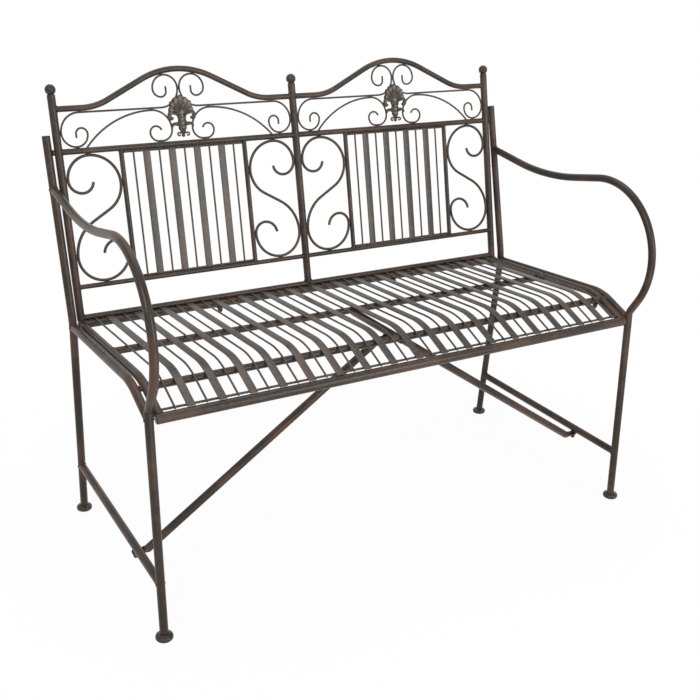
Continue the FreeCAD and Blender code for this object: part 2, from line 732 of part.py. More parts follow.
def sleeve(start, end, width):
    # Spacer on a bolt, clear of the tubes at its ends
    ease = (end - start).normalize() * weld_gap
    return bar(start + ease, end - ease, width).cut(bar(start, end, bolt_shank + bolt_hole_play))


def side_stud(side, at, held, into):
    # Blind in a panel's tube and in the side frame, with a spacer between them
    outer = at + across * (side * (panel_x + panel_tube / 2))
    frame = at + across * (side * (side_frame_x - frame_tube / 2))
    way = across * side
    pin = fastened(stud, outer - way * blind_depth, frame + way * blind_depth, [held, into])
    return [pin, sleeve(outer, frame, spacer_width)]


def build_fasteners():
    post_bolts = []
    seat_bolts = []
    brace_bolts = []
    post_at = point(0, lean_at.y, lean_at.z)
    seat_at = point(0, front_stud_at.x, front_stud_at.y)
    seat_cap_x = panel_x - (panel_tube + cap_washer) / 2 - cap_clear
    cross_under = front_cross_at.y - crossbar / 2
    stretcher_under = stretcher_z - frame_tube / 2
    low_tab_top = low_tab_up + brace_tab_thick / 2
    low_tab_under = low_tab_up - brace_tab_thick / 2
    for side, word in ((1, "right_"), (-1, "left_")):
        post_bolts += side_stud(side, post_at, word + "post", word + "upright")
        seat_bolts += side_stud(side, seat_at, word + "seat_side_rail", word + "seat_bearer")
        head = point(side * seat_cap_x, front_cross_at.x, cross_under)
        seat_bolts.append(fastened(cap_bolt, head, head + upward * blind_depth, ["front_crossbar"]))
        at = point(side * side_frame_x, brace_y, 0)
        head = at + upward * low_tab_under
        stop = at + upward * (stretcher_under + blind_depth)
        brace_bolts.append(fastened(cap_bolt, head, stop, [word + "brace", word + "stretcher"]))
        brace_bolts.append(sleeve(at + upward * low_tab_top, at + upward * stretcher_under, cap_width))
    head = point(0, brace_y, high_tab_up - 1.5 * brace_tab_thick - weld_gap)
    stop = point(0, brace_y, centre_bar_up - centre_bar / 2 + blind_depth)
    brace_bolts.append(fastened(bolt, head, stop, ["right_brace", "left_brace", "seat_centre_bar"]))
    back_bolts = []
    down = point(0, back_rail_at.x - back_at.x, back_rail_at.y - back_at.y).normalize()
    for side in (-1, 1):
        middle = on_back(side * back_bolt_x, 0)
        head = middle + down * (rail_reach + panel_tube / 2)
        stop = middle + down * (bottom_rail / 2 - blind_depth)
        back_bolts.append(fastened(cap_bolt, head, stop, ["seat_back_rail", "back_bottom_rail"]))
    parts["post_bolts"] = group(post_bolts)
    parts["seat_bolts"] = group(seat_bolts)
    parts["brace_bolts"] = group(brace_bolts)
    parts["back_rail_bolts"] = group(back_bolts)


build_side_frames()
build_seat()
build_back()
parts["right_brace"] = brace(0)
parts["left_brace"] = mirrored(brace(brace_tab_thick + weld_gap))
build_fasteners()

# The origin lies on the ground under the middle of the whole bench
box = group(list(parts.values())).optimalBoundingBox(False)
to_middle = point(0, -(box.YMin + box.YMax) / 2, 0)
os.makedirs("parts", exist_ok=True)
for name, shape in parts.items():
    shape.translate(to_middle)
    shape.exportStep("parts/" + name + ".step")
print(len(parts), "nodes", round(box.XLength, 2), round(box.YLength, 2), round(box.ZLength, 2),
      "moved", round(to_middle.y, 3))
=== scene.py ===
import bpy
import math
import numpy as np
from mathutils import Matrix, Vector


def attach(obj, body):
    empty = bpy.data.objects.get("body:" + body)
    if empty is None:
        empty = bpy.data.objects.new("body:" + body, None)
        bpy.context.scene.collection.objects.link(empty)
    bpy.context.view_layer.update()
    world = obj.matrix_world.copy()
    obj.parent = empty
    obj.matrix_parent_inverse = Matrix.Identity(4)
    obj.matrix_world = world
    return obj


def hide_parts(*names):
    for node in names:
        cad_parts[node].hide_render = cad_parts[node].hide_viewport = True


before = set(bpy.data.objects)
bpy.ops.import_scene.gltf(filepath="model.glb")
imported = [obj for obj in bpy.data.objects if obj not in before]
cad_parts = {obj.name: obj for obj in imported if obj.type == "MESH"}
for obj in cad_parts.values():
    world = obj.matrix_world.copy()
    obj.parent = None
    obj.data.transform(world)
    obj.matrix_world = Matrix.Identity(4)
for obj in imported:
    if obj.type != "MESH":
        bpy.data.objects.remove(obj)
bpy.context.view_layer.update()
print("frame loaded with", len(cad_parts), "nodes")

# Places that many pieces share, in millimetres and degrees, as the frame has them.
# Drawings in a side plane run along the depth and up, with zero depth at the back of the seat.
bench = {
    "depthShift": 205.955,                 # puts the middle of the bench at zero depth
    "frameX": 540.0, "panelX": 520.0, "bayX": 260.0,
    "tubeWidth": 16.0, "rodWidth": 4.0, "slatThick": 3.0, "slatWidth": 15.5, "strapCorner": 1.1,
    "weldGap": 0.1, "frontFoot": (-480.0, 0.0), "rearFoot": (24.0, 0.0), "legTop": (-461.5, 446.0),
    "rearBend": (-14.0, 450.0), "rearBendRadius": 120.0, "uprightTop": 809.0,
    "seatRise": 3.9, "seatDrop": 22.6, "seatCorner": -376.0, "seatRadius": 130.0, "seatZ": 450.0,
    "backRailY": -7.0, "backTilt": 11.5, "backSeatAngle": 29.6, "bottomRail": 12.0,
    "lowerUp": 62.0, "midUp": 330.0, "archUp": 412.5, "apexUp": 480.0, "postUp": 439.0,
}
depthShift, frameX, panelX, bayX = (bench[key] for key in ("depthShift", "frameX", "panelX", "bayX"))
tubeWidth, rodWidth, slatThick = (bench[key] for key in ("tubeWidth", "rodWidth", "slatThick"))
weldGap, lowerUp, midUp, archUp, apexUp = (
    bench[key] for key in ("weldGap", "lowerUp", "midUp", "archUp", "apexUp"))


def wayOf(degrees):
    return np.array([math.cos(math.radians(degrees)), math.sin(math.radians(degrees))])


def unit(vector):
    vector = np.asarray(vector, float)
    return vector / np.linalg.norm(vector)


# A line of runs (length, 0) and bends (radius, degrees), left turns positive. Along a bend the
# point is centre + radius * (cos, sin) of an evenly growing angle. Gives points and headings.
def walkLine(start, heading, steps, pace=5.0):
    here = np.asarray(start, float)
    points, headings = [here[None]], [np.array([heading], float)]
    for size, bend in steps:
        if bend == 0:
            here = here + size * wayOf(heading)
            points.append(here[None])
            headings.append(np.array([heading], float))
            continue
        hand = math.copysign(90.0, bend)
        centre = here + size * wayOf(heading + hand)
        turns = np.linspace(0.0, bend, max(3, math.ceil(abs(bend) / pace) + 1))[1:]
        angles = np.radians(heading - hand + turns)
        arc = centre + size * np.stack([np.cos(angles), np.sin(angles)], 1)
        points.append(arc)
        headings.append(heading + turns)
        here, heading = arc[-1], heading + bend
    return np.concatenate(points), np.concatenate(headings)


# Two walks away from one point become one line from tip to tip
def joinWalks(first, second):
    return (np.concatenate([first[0][::-1], second[0][1:]]),
            np.concatenate([first[1][::-1] + 180.0, second[1][1:]]))


# Two straights with their corner rounded: run, bend by the change of heading, run
def cornerLine(before, corner, after, radius, pace=3.0):
    before, corner, after = (np.asarray(place, float) for place in (before, corner, after))
    comeIn, goOut = corner - before, after - corner
    heading = math.degrees(math.atan2(comeIn[1], comeIn[0]))
    bend = (math.degrees(math.atan2(goOut[1], goOut[0])) - heading + 180.0) % 360.0 - 180.0
    cut = radius * math.tan(math.radians(abs(bend)) / 2)
    steps = [(np.linalg.norm(comeIn) - cut, 0), (radius, bend), (np.linalg.norm(goOut) - cut, 0)]
    return walkLine(before, heading, steps, pace)


def straightLine(start, end):
    start, end = np.asarray(start, float), np.asarray(end, float)
    heading = math.degrees(math.atan2(*(end - start)[::-1]))
    return np.stack([start, end]), np.array([heading, heading])


# Drawing planes: origin, drawing across, drawing up, and the way out of the drawing
def drawingPlane(origin, across, up):
    across, up = unit(across), unit(up)
    return {"origin": np.asarray(origin, float), "across": across, "up": up, "out": np.cross(across, up)}


def sidePlane(x):
    return drawingPlane((x, depthShift, 0), (0, 1, 0), (0, 0, 1))


def inSpace(plane, points, proud=0.0):
    points = np.atleast_2d(np.asarray(points, float))
    return (plane["origin"] + points[:, :1] * plane["across"] + points[:, 1:2] * plane["up"]
            + proud * plane["out"])


# Quads of a grid of rows and columns, wound so that columns x rows points outwards
def gridFaces(rows, columns, ringRows=False, ringColumns=True):
    row = np.arange(rows if ringRows else rows - 1)[:, None]
    column = np.arange(columns if ringColumns else columns - 1)[None]
    nextRow, nextColumn = (row + 1) % rows, (column + 1) % columns
    corners = np.broadcast_arrays(row * columns + column, row * columns + nextColumn,
                                  nextRow * columns + nextColumn, nextRow * columns + column)
    return np.stack(corners, -1).reshape(-1, 4)


def endFaces(rows, columns):
    ring = np.arange(columns)
    return [ring[::-1][None], (ring + (rows - 1) * columns)[None]]


# A block is vertices, lists of faces by size, and how far each vertex is rubbed bright
def closedBlock(rings, rub=0.0):
    rows, columns = rings.shape[:2]
    rubbed = np.broadcast_to(np.asarray(rub, float), (rows, columns)).reshape(-1)
    return rings.reshape(-1, 3), [gridFaces(rows, columns)] + endFaces(rows, columns), rubbed


# Reflection in the plane x = place, with the faces turned round so that they stay outwards
def reflected(blocks, place=0.0):
    turned = []
    for points, faces, rub in blocks:
        turned.append((points * (-1, 1, 1) + (2 * place, 0, 0), [ring[:, ::-1] for ring in faces], rub))
    return turned


def roundProfile(width, sides):
    angles = 2 * np.pi * np.arange(sides) / sides
    way = np.stack([np.cos(angles), np.sin(angles)], 1)
    return width / 2 * way, way, np.zeros(sides)


# Strip with its four edges rounded: corner centres plus the corner radius along each way out
def stripProfile(acrossLeft, acrossOut, corner, steps=5):
    angles = np.concatenate([np.linspace(q * 90.0, q * 90.0 + 90.0, steps) for q in range(4)])
    signs = np.repeat(np.array([(1, 1), (-1, 1), (-1, -1), (1, -1)], float), steps, 0)
    way = np.stack([np.cos(np.radians(angles)), np.sin(np.radians(angles))], 1)
    middle = signs * (np.array([acrossLeft, acrossOut]) / 2 - corner)
    edge = 1.0 - np.abs(np.tile(np.linspace(-1, 1, steps), 4))
    return middle + corner * way, way, edge


# A profile carried along a line: ring = point + a * left + b * out. Over the last stretch of a
# rounded end the profile draws in by e * (1 - cos t) while it goes on by e * sin t.
endTurns = np.radians(np.linspace(0, 82, 6))


def carryProfile(plane, line, profile, ends=(0, 0), tipRub=0.0):
    none = np.zeros(len(line[1]))
    rows = np.column_stack([*line, none, none])   # across, up, heading, drawn in, rubbed
    for size, hand in zip(ends, (-1, 1)):
        rows = rows[::-1]                         # the end in hand comes last
        if size > 0:
            place, heading = rows[-1, :2], rows[-1, 2]
            way, going = hand * wayOf(heading), np.sin(endTurns)
            tip = place - size * way + size * going[:, None] * way
            drawn = size * (1 - np.cos(endTurns))
            tipRows = np.column_stack([tip, np.full(len(tip), heading), drawn, tipRub * going])
            rows = np.concatenate([rows[:-1], tipRows])
    rim, rimWay, edge = profile
    angles = np.radians(rows[:, 2:3])
    left = -np.sin(angles) * plane["across"] + np.cos(angles) * plane["up"]
    ring = rim[None] - rows[:, 3, None, None] * rimWay[None]
    rings = (inSpace(plane, rows[:, :2])[:, None] + ring[..., :1] * left[:, None]
             + ring[..., 1:] * plane["out"])
    return closedBlock(rings, np.maximum(rows[:, 4:], edge[None]))


def tube(plane, line, width, ends=(0, 0), tipRub=0.0, sides=None):
    sides = sides or (28 if width > 11 else 20 if width > 8 else 14)   # thicker tubes get more
    return carryProfile(plane, line, roundProfile(width, sides), ends, tipRub)


# Straight round bar between two points in space
def roundBar(start, end, width, ends=(0, 0)):
    ahead = unit(end - start)
    away = unit(np.cross(ahead, (0.31, 0.57, 0.76)))   # square to the bar, by any way not along it
    line = straightLine((0, 0), (np.linalg.norm(end - start), 0))
    return tube(drawingPlane(start, ahead, away), line, width, ends)


# Twisted square rod: the ring's radius is half the width times 1 + ridge * cos(4 * (angle - turn)),
# where the turn grows evenly along the rod by one round in each lead.
twist = {"lead": 15.6, "edges": 4, "ridge": 0.24, "rub": 0.5, "step": 0.8, "sides": 16}


def twistedRod(start, end, width):
    length = np.linalg.norm(end - start)
    ahead = (end - start) / length
    first = unit(np.cross(ahead, (0.0, 0.0, 1.0)))
    along = np.append(np.arange(0, length, twist["step"]), length)[:, None]
    angles = 2 * np.pi * np.arange(twist["sides"])[None] / twist["sides"]
    ridge = np.cos(twist["edges"] * (angles - 2 * np.pi * along / twist["lead"]))
    radius = width / 2 * (1 + twist["ridge"] * ridge)
    rings = (start + along[..., None] * ahead + (radius * np.cos(angles))[..., None] * first
             + (radius * np.sin(angles))[..., None] * np.cross(ahead, first))
    return closedBlock(rings, np.clip(ridge, 0, 1) * twist["rub"])


# Turned piece: at each height the ring is axis point + radius * (cos, sin) square to the axis
def turnedPiece(start, axis, radii, heights, sides=32, rub=0.0):
    axis = unit(axis)
    sideways = unit(np.cross(axis, (0.0, 1.0, 0.0) if abs(axis[1]) < 0.9 else (1.0, 0.0, 0.0)))
    angles = 2 * np.pi * np.arange(sides) / sides
    ring = np.cos(angles)[:, None] * sideways + np.sin(angles)[:, None] * np.cross(axis, sideways)
    radii = np.asarray(radii, float)
    radii = radii[:, None] if radii.ndim == 1 else radii
    rings = (np.asarray(start, float) + np.asarray(heights, float)[:, None, None] * axis
             + radii[..., None] * ring[None])
    rub = np.asarray(rub, float)
    return closedBlock(rings, rub[:, None] if rub.ndim == 1 else rub)


# Smooth curve through control rows: each stretch is the cubic that leaves along half the
# difference of its neighbours, worked out for all stretches at once
def smoothRows(rows, perStretch=6):
    rows = np.asarray(rows, float)
    slope = np.gradient(rows, axis=0)
    share = np.linspace(0, 1, perStretch, endpoint=False)[None, :, None]
    a, b, c, d = rows[:-1, None], rows[1:, None], slope[:-1, None], slope[1:, None]
    curve = ((2 * share ** 3 - 3 * share ** 2 + 1) * a + (share ** 3 - 2 * share ** 2 + share) * c
             + (3 * share ** 2 - 2 * share ** 3) * b + (share ** 3 - share ** 2) * d)
    return np.concatenate([curve.reshape(-1, rows.shape[1]), rows[-1:]])


finishes = {}


# Puts blocks into one mesh in metres, closed and smooth, and hangs it on the frame
def addPiece(name, blocks, slotName, *nodes):
    counts = np.array([len(block[0]) for block in blocks])
    offsets = np.cumsum(counts) - counts
    points = np.concatenate([block[0] for block in blocks]) * 0.001
    loops, sizes = [], []
    for (_, faceLists, _), offset in zip(blocks, offsets):
        for faces in faceLists:
            loops.append((faces + offset).ravel())
            sizes.append(np.full(len(faces), faces.shape[1]))
    loops, sizes = np.concatenate(loops).astype(np.int32), np.concatenate(sizes).astype(np.int32)
    mesh = bpy.data.meshes.new(name)
    mesh.vertices.add(len(points))
    mesh.vertices.foreach_set("co", points.astype(np.float32).ravel())
    mesh.loops.add(len(loops))
    mesh.loops.foreach_set("vertex_index", loops)
    mesh.polygons.add(len(sizes))
    mesh.polygons.foreach_set("loop_start", np.cumsum(sizes, dtype=np.int32) - sizes)
    mesh.polygons.foreach_set("use_smooth", np.ones(len(sizes), bool))
    mesh.update(calc_edges=True)
    mesh.validate()
    mesh.set_sharp_from_angle(angle=math.radians(48))
    rub = np.concatenate([block[2] for block in blocks]).astype(np.float32)
    mesh.attributes.new("rub", "FLOAT", "POINT").data.foreach_set("value", rub)
    mesh.materials.append(finishes[slotName])
    piece = bpy.data.objects.new(name, mesh)
    bpy.context.scene.collection.objects.link(piece)
    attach(piece, "root")
    if nodes:
        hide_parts(*nodes)
    return piece


# The same piece on both sides. Its nodes have its name in small letters with underscores.
def addPair(word, blocks, slotName):
    node = "".join("_" + letter.lower() if letter.isupper() else letter for letter in word)
    addPiece("right" + word, blocks, slotName, "right" + node)
    addPiece("left" + word, reflected(blocks), slotName, "left" + node)


# One socket of a finish. Sums and products of values add Math nodes.
class Feed:
    def __init__(self, tree, socket=None):
        self.tree, self.socket = tree, socket

    def node(self, kind, settings=None, sockets=None, out=0):
        made = self.tree.nodes.new(kind)
        for key, value in (settings or {}).items():
            setattr(made, key, value)
        for key, value in (sockets or {}).items():
            if isinstance(value, Feed):
                self.tree.links.new(value.socket, made.inputs[key])
            else:
                made.inputs[key].default_value = value
        return Feed(self.tree, made.outputs[out] if made.outputs else None)

    def maths(self, operation, first, second):
        return self.node("ShaderNodeMath", {"operation": operation}, {0: first, 1: second})

    def tint(self, first, second, share):
        return self.node("ShaderNodeMix", {"data_type": "RGBA"}, {0: share, 6: first, 7: second}, 2)

    def between(self, low, high):
        return self.node("ShaderNodeMapRange", {"interpolation_type": "SMOOTHSTEP", "clamp": True},
                         {"Value": self, "From Min": low, "From Max": high})

    def __add__(self, other): return self.maths("ADD", self, other)
    def __radd__(self, other): return self.maths("ADD", other, self)
    def __sub__(self, other): return self.maths("SUBTRACT", self, other)
    def __rsub__(self, other): return self.maths("SUBTRACT", other, self)
    def __mul__(self, other): return self.maths("MULTIPLY", self, other)
    def __rmul__(self, other): return self.maths("MULTIPLY", other, self)


def freshPen(owner):
    owner.use_nodes = True
    owner.node_tree.nodes.clear()
    return Feed(owner.node_tree)


# Antique brown paint: umber with red-brown clouds, a grey-taupe dusting in the grain, laid on thicker
# as painted sheen on the slats and backrest tubes, bright rubbed edges, and an orange-peel skin. Every
# pattern lies in metres on Object coordinates.
paint = {
    "umber": (0.025, 0.018, 0.013, 1), "redBrown": (0.071, 0.040, 0.026, 1),
    "taupe": (0.100, 0.086, 0.067, 1), "rubbed": (0.200, 0.166, 0.148, 1),
    "cloudEdge": (0.42, 0.64), "dustAndPaintedSheenEdge": (0.44, 0.68), "rubEdge": (0.30, 0.95), "rubFloor": 0.35,
    "grainInDust": 0.4, "grainInSkin": 0.3, "grainGloss": 0.22, "rubGloss": 0.08, "coatRoughness": 0.25,
}


def antiquePaint(name, look):
    material = bpy.data.materials.new(name)
    pen = freshPen(material)
    place = pen.node("ShaderNodeTexCoord", out="Object")
    noise = lambda scale, detail, rough: pen.node(
        "ShaderNodeTexNoise", None, {"Vector": place, "Scale": scale, "Detail": detail, "Roughness": rough})
    clouds = noise(look["cloudScale"], 4.0, 0.62)
    mottle = noise(look["mottleScale"], 3.0, 0.6)
    grain = noise(look["grainScale"], 2.0, 0.55)
    peel = noise(look["peelScale"], 1.5, 0.5)
    rub = pen.node("ShaderNodeAttribute", {"attribute_name": "rub"}, out="Fac")
    blend = lambda first, second, share: first * (1 - share) + second * share
    warm = clouds.between(*paint["cloudEdge"]) * look["warmth"]
    # Taupe dusting in the grain; where a look sets it high, as on the slats and backrest tubes, it is also
    # painted sheen
    dust = blend(mottle, grain, paint["grainInDust"]).between(*paint["dustAndPaintedSheenEdge"]) * look["dust"]
    bright = (rub * (paint["rubFloor"] + mottle)).between(*paint["rubEdge"]) * look["rubShare"]
    colour = pen.tint(paint["umber"], paint["redBrown"], warm)
    colour = pen.tint(colour, paint["taupe"], dust)
    colour = pen.tint(colour, paint["rubbed"], bright)
    roughness = look["roughness"] + (grain - 0.5) * paint["grainGloss"] - bright * paint["rubGloss"]
    normal = pen.node("ShaderNodeBump", None, {"Strength": look["bump"], "Distance": look["bumpDepth"],
                                               "Height": blend(peel, grain, paint["grainInSkin"])})
    shader = pen.node("ShaderNodeBsdfPrincipled", None, {
        "Base Color": colour, "Roughness": roughness, "Specular IOR Level": look["sheen"],
        "Coat Weight": look["coat"], "Coat Roughness": paint["coatRoughness"], "Normal": normal})
    pen.node("ShaderNodeOutputMaterial", None, {"Surface": shader})
    material.diffuse_color = paint["umber"]
    return material


tubeLook = dict(cloudScale=9, mottleScale=150, grainScale=620, peelScale=700, warmth=0.95, dust=0.14,
                rubShare=0.3, roughness=0.31, bump=0.25, bumpDepth=0.0004, sheen=0.24, coat=0.03)
finishLooks = {
    "frame_tube": tubeLook,
    # backrest tubes: the frame tubes' paint made lighter and greyer, a painted lit copy of the same paint
    "panel_tube": dict(tubeLook, cloudScale=10, grainScale=640, peelScale=720, warmth=0.8, dust=0.28,
                       roughness=0.34, sheen=0.28, coat=0.04),
    # slats: much more taupe dust than the tubes, a painted sheen laid over the same brown paint
    "slat": dict(tubeLook, cloudScale=8, mottleScale=120, grainScale=560, peelScale=640, warmth=0.75,
                 dust=0.5, rubShare=0.35, roughness=0.40, sheen=0.44, coat=0.04),
    "scroll_wire": dict(tubeLook, cloudScale=16, mottleScale=160, grainScale=760, peelScale=860, warmth=0.45,
                        dust=0.3, rubShare=0.35, roughness=0.40, bump=0.2, bumpDepth=0.0003, sheen=0.36),
    "cast_shell": dict(cloudScale=30, mottleScale=180, grainScale=800, peelScale=520, warmth=0.9, dust=0.85,
                       rubShare=1.0, roughness=0.44, bump=0.6, bumpDepth=0.0006, sheen=0.32, coat=0.02),
    "foot": dict(cloudScale=20, mottleScale=90, grainScale=600, peelScale=420, warmth=0.1, dust=0.22,
                 rubShare=0.2, roughness=0.26, bump=0.6, bumpDepth=0.0008, sheen=0.34, coat=0.05),
    "fastener": dict(tubeLook, cloudScale=40, mottleScale=200, grainScale=900, peelScale=900, warmth=0.4,
                     dust=0.2, rubShare=0.4, roughness=0.34, sheen=0.34, coat=0.06),
}
for slotName, look in finishLooks.items():
    finishes[slotName] = antiquePaint("paint_" + slotName, look)
print("finishes made:", len(finishes))


# Seat line: rises gently to the front, turns down over the front rail; depth below is square to it
def runPoint(y, below):
    lean = math.radians(bench["seatRise"])
    return np.array([y - below * math.sin(lean),
                     bench["seatZ"] - y * math.tan(lean) - below * math.cos(lean)])


def nosePoint(y, below):
    lean = math.radians(bench["seatDrop"])
    corner = runPoint(bench["seatCorner"], 0)
    return np.array([y + below * math.sin(lean),
                     corner[1] + (y - bench["seatCorner"]) * math.tan(lean) - below * math.cos(lean)])


def seatLine(below, backY, noseY):
    half = math.radians((bench["seatRise"] + bench["seatDrop"]) / 2)
    lean = math.radians((bench["seatDrop"] - bench["seatRise"]) / 2)
    square = np.array([math.sin(lean), -math.cos(lean)])
    corner = runPoint(bench["seatCorner"], 0) + square * below / math.cos(half)
    return cornerLine(runPoint(backY, below), corner, nosePoint(noseY, below), bench["seatRadius"] - below)


def onLineAt(line, y):
    order = np.argsort(line[0][:, 0])
    return np.array([y, np.interp(y, line[0][order, 0], line[0][order, 1])])


railDepth = (tubeWidth + slatThick) / 2
frontRail = {"width": 19.0, "y": -461.0}
frontDepth = (frontRail["width"] + slatThick) / 2 + weldGap
noseTouchY = frontRail["y"] - frontDepth * math.sin(math.radians(bench["seatDrop"]))
frontRailAt = nosePoint(noseTouchY, frontDepth)
backRailAt = runPoint(bench["backRailY"], railDepth + weldGap)

# Backrest plane: drawing across is to the right, drawing up leans back with the panel
railReach = (bench["bottomRail"] + tubeWidth) / 2 + weldGap
backAt = backRailAt + railReach * wayOf(90 - bench["backSeatAngle"])
leanBack = math.radians(bench["backTilt"])
backWay = np.array([math.sin(leanBack), math.cos(leanBack)])
backPlane = drawingPlane((0, backAt[0] + depthShift, backAt[1]), (1, 0, 0), (0, *backWay))
onBack = lambda out, up, proud=0.0: inSpace(backPlane, (out, up), proud)[0]

rearBend, legTop, frontFoot, rearFoot = (
    np.array(bench[key]) for key in ("rearBend", "legTop", "frontFoot", "rearFoot"))
uprightWay = unit(backAt + midUp * backWay - rearBend)


def atHeight(start, end, height):
    return start + (end - start) * (height - start[1]) / (end[1] - start[1])


# Side frames
sideFrame = {"footUp": 5.75, "capThick": 2.5, "stretcherZ": 113.5, "legPast": 4.0, "roundEnd": 5.0,
             "armLean": 32.1, "armRun": 37.4, "armRadius": 154.0, "dip": (-152.0, 679.3),
             "dipRadius": 600.0, "armRootZ": 709.0}
sidePlaneRight = sidePlane(frameX)
onSide = lambda at: inSpace(sidePlaneRight, at)[0]
onUpright = lambda height: atHeight(rearBend, rearBend + uprightWay, height)
legWay, rearWay = unit(legTop - frontFoot), unit(rearBend - rearFoot)
plugFoot = onUpright(bench["uprightTop"]) - sideFrame["capThick"] * uprightWay
uprightLine = cornerLine(atHeight(rearFoot, rearBend, sideFrame["footUp"]), rearBend, plugFoot,
                         bench["rearBendRadius"])
legLine = straightLine(atHeight(frontFoot, legTop, sideFrame["footUp"]),
                       legTop + sideFrame["legPast"] * legWay)
bearerLine = seatLine(railDepth, rearBend[0], legTop[0])
stretcherLine = straightLine(atHeight(frontFoot, legTop, sideFrame["stretcherZ"]),
                             atHeight(rearFoot, rearBend, sideFrame["stretcherZ"]))


# Arm: straight off the leg, round the bulge until its tangent points at the dip, then the dip's bend
def armLine():
    heading, radius, dip = 90 + sideFrame["armLean"], sideFrame["armRadius"], np.array(sideFrame["dip"])
    centre = legTop + sideFrame["armRun"] * wayOf(heading) + radius * wayOf(heading - 90)
    gap = dip - centre
    aim = math.degrees(math.atan2(gap[1], gap[0])) + math.degrees(math.acos(radius / np.linalg.norm(gap)))
    turn = (heading + 90) % 360 - aim
    bulge = walkLine(legTop, heading, [(sideFrame["armRun"], 0), (radius, -turn)], 3.0)
    rest = cornerLine(centre + radius * wayOf(aim), dip, onUpright(sideFrame["armRootZ"]),
                      sideFrame["dipRadius"], 1.0)
    return np.concatenate([bulge[0], rest[0][1:]]), np.concatenate([bulge[1], rest[1][1:]])


armCentre, roundEnd = armLine(), sideFrame["roundEnd"]
for word, line, ends in (("Upright", uprightLine, (0, 0)), ("FrontLeg", legLine, (0, roundEnd)),
                         ("SeatBearer", bearerLine, (0, 0)), ("Armrest", armCentre, (roundEnd, 0)),
                         ("Stretcher", stretcherLine, (0, 0))):
    addPair(word, [tube(sidePlaneRight, line, tubeWidth, ends)], "frame_tube")

# Flat plug in the top of each upright, with a chamfered rim, as rows of radius and height
plugShape = [(8, 0), (8, 1.6), (7.8, 2.0), (7.2, 2.4), (6.6, 2.5)]
plug = [turnedPiece(onSide(plugFoot), (0, *uprightWay), *np.transpose(plugShape))]
addPiece("uprightPlugs", plug + reflected(plug), "frame_tube", "upright_caps")

# Low round feet: flat base, belly, rounded rim, and a nearly flat top up to the leg's tube
footShape = {"base": (13.6, 0.0), "collar": (8.05, 11.5), "sides": 40, "outline": [
    (14.6, 0.0), (15.6, 1.0), (16.3, 2.5), (16.5, 4.0), (16.3, 5.8), (15.9, 7.2), (15.2, 8.3), (14.0, 9.0),
    (11.6, 9.9), (9.4, 10.9), (8.5, 11.5)]}
footRows = np.concatenate([[footShape["base"]], smoothRows(footShape["outline"], 4), [footShape["collar"]]])
for word, foot in (("FrontFoot", frontFoot), ("RearFoot", rearFoot)):
    addPair(word, [turnedPiece(onSide(foot), (0, 0, 1), *footRows.T, footShape["sides"])], "foot")
print("side frames made")

# Seat panel
seat = {"slatCount": 17, "edgeGap": 19.3, "frontCrossY": -394.0, "rearCrossY": -206.0, "crossbar": 14.0,
        "centreBar": 16.0, "centreDrop": 5.0, "rodSet": 10.8, "noseGap": 4.0, "tailGap": 0.5,
        "frontRailEnd": 2.5, "backRailEnd": 2.0, "slatEnd": 0.8, "rodEnd": 1.2, "tipRub": 0.6}
crossDepth = (seat["crossbar"] + slatThick) / 2 + weldGap
rearCrossAt = runPoint(seat["rearCrossY"], crossDepth)
frontCrossAt = onLineAt(seatLine(crossDepth, bench["backRailY"], noseTouchY), seat["frontCrossY"])
panelEnd = panelX + tubeWidth / 2


def acrossEnds(at, reach):
    return [np.array([x, at[0] + depthShift, at[1]]) for x in (-reach, reach)]


def crossTube(at, reach, width, end=0.0):
    return [roundBar(*acrossEnds(at, reach), width, (end, end))]


addPiece("seatFrontRail", crossTube(frontRailAt, panelEnd, frontRail["width"], seat["frontRailEnd"]),
         "panel_tube", "seat_front_rail")
addPiece("seatBackRail", crossTube(backRailAt, panelEnd, tubeWidth, seat["backRailEnd"]),
         "panel_tube", "seat_back_rail")
sideRailLine = seatLine(railDepth, bench["backRailY"], frontRail["y"])
addPair("SeatSideRail", [tube(sidePlane(panelX), sideRailLine, tubeWidth)], "panel_tube")
addPiece("frontCrossbar", crossTube(frontCrossAt, panelX, seat["crossbar"]), "panel_tube", "front_crossbar")
addPiece("rearCrossbar", crossTube(rearCrossAt, panelX, seat["crossbar"]), "panel_tube", "rear_crossbar")
centreLine = straightLine(rearCrossAt - (0, seat["centreDrop"]), frontCrossAt - (0, seat["centreDrop"]))
centreBar = [tube(sidePlane(0), centreLine, seat["centreBar"])]
addPiece("seatCentreBar", centreBar, "panel_tube", "seat_centre_bar")

slatBackY = backAt[0] - bench["bottomRail"] / 2 - seat["tailGap"]
slatPitch = 2 * (panelX - tubeWidth / 2 - seat["edgeGap"]) / seat["slatCount"]
slatPlaces = (np.arange(seat["slatCount"]) - (seat["slatCount"] - 1) / 2) * slatPitch
rodPlaces = np.append(slatPlaces - slatPitch / 2, slatPlaces[-1] + slatPitch / 2)
slatLine = seatLine(0.0, slatBackY, noseTouchY + seat["noseGap"])
rodLine = seatLine((slatThick - rodWidth) / 2, slatBackY, noseTouchY + seat["noseGap"])
strap = stripProfile(slatThick, bench["slatWidth"], bench["strapCorner"])
slatEnds, rodEnds = (seat["slatEnd"],) * 2, (seat["rodEnd"],) * 2
flatSlats = [carryProfile(sidePlane(x), slatLine, strap, slatEnds, seat["tipRub"]) for x in slatPlaces]
roundSlats = [tube(sidePlane(x), rodLine, rodWidth, rodEnds, seat["tipRub"]) for x in rodPlaces]
addPiece("seatFlatSlats", flatSlats, "slat", "seat_flat_slats")
addPiece("seatRoundSlats", roundSlats, "slat", "seat_round_slats")
rodDepth = (slatThick + rodWidth) / 2 + weldGap
backRodAt = runPoint(bench["backRailY"] - seat["rodSet"], rodDepth)
noseRodAt = nosePoint(noseTouchY + seat["rodSet"], rodDepth)
edgeRods = [twistedRod(*acrossEnds(at, panelX), rodWidth) for at in (backRodAt, noseRodAt)]
addPiece("seatEdgeRods", edgeRods, "slat", "seat_edge_rods")
print("seat made")

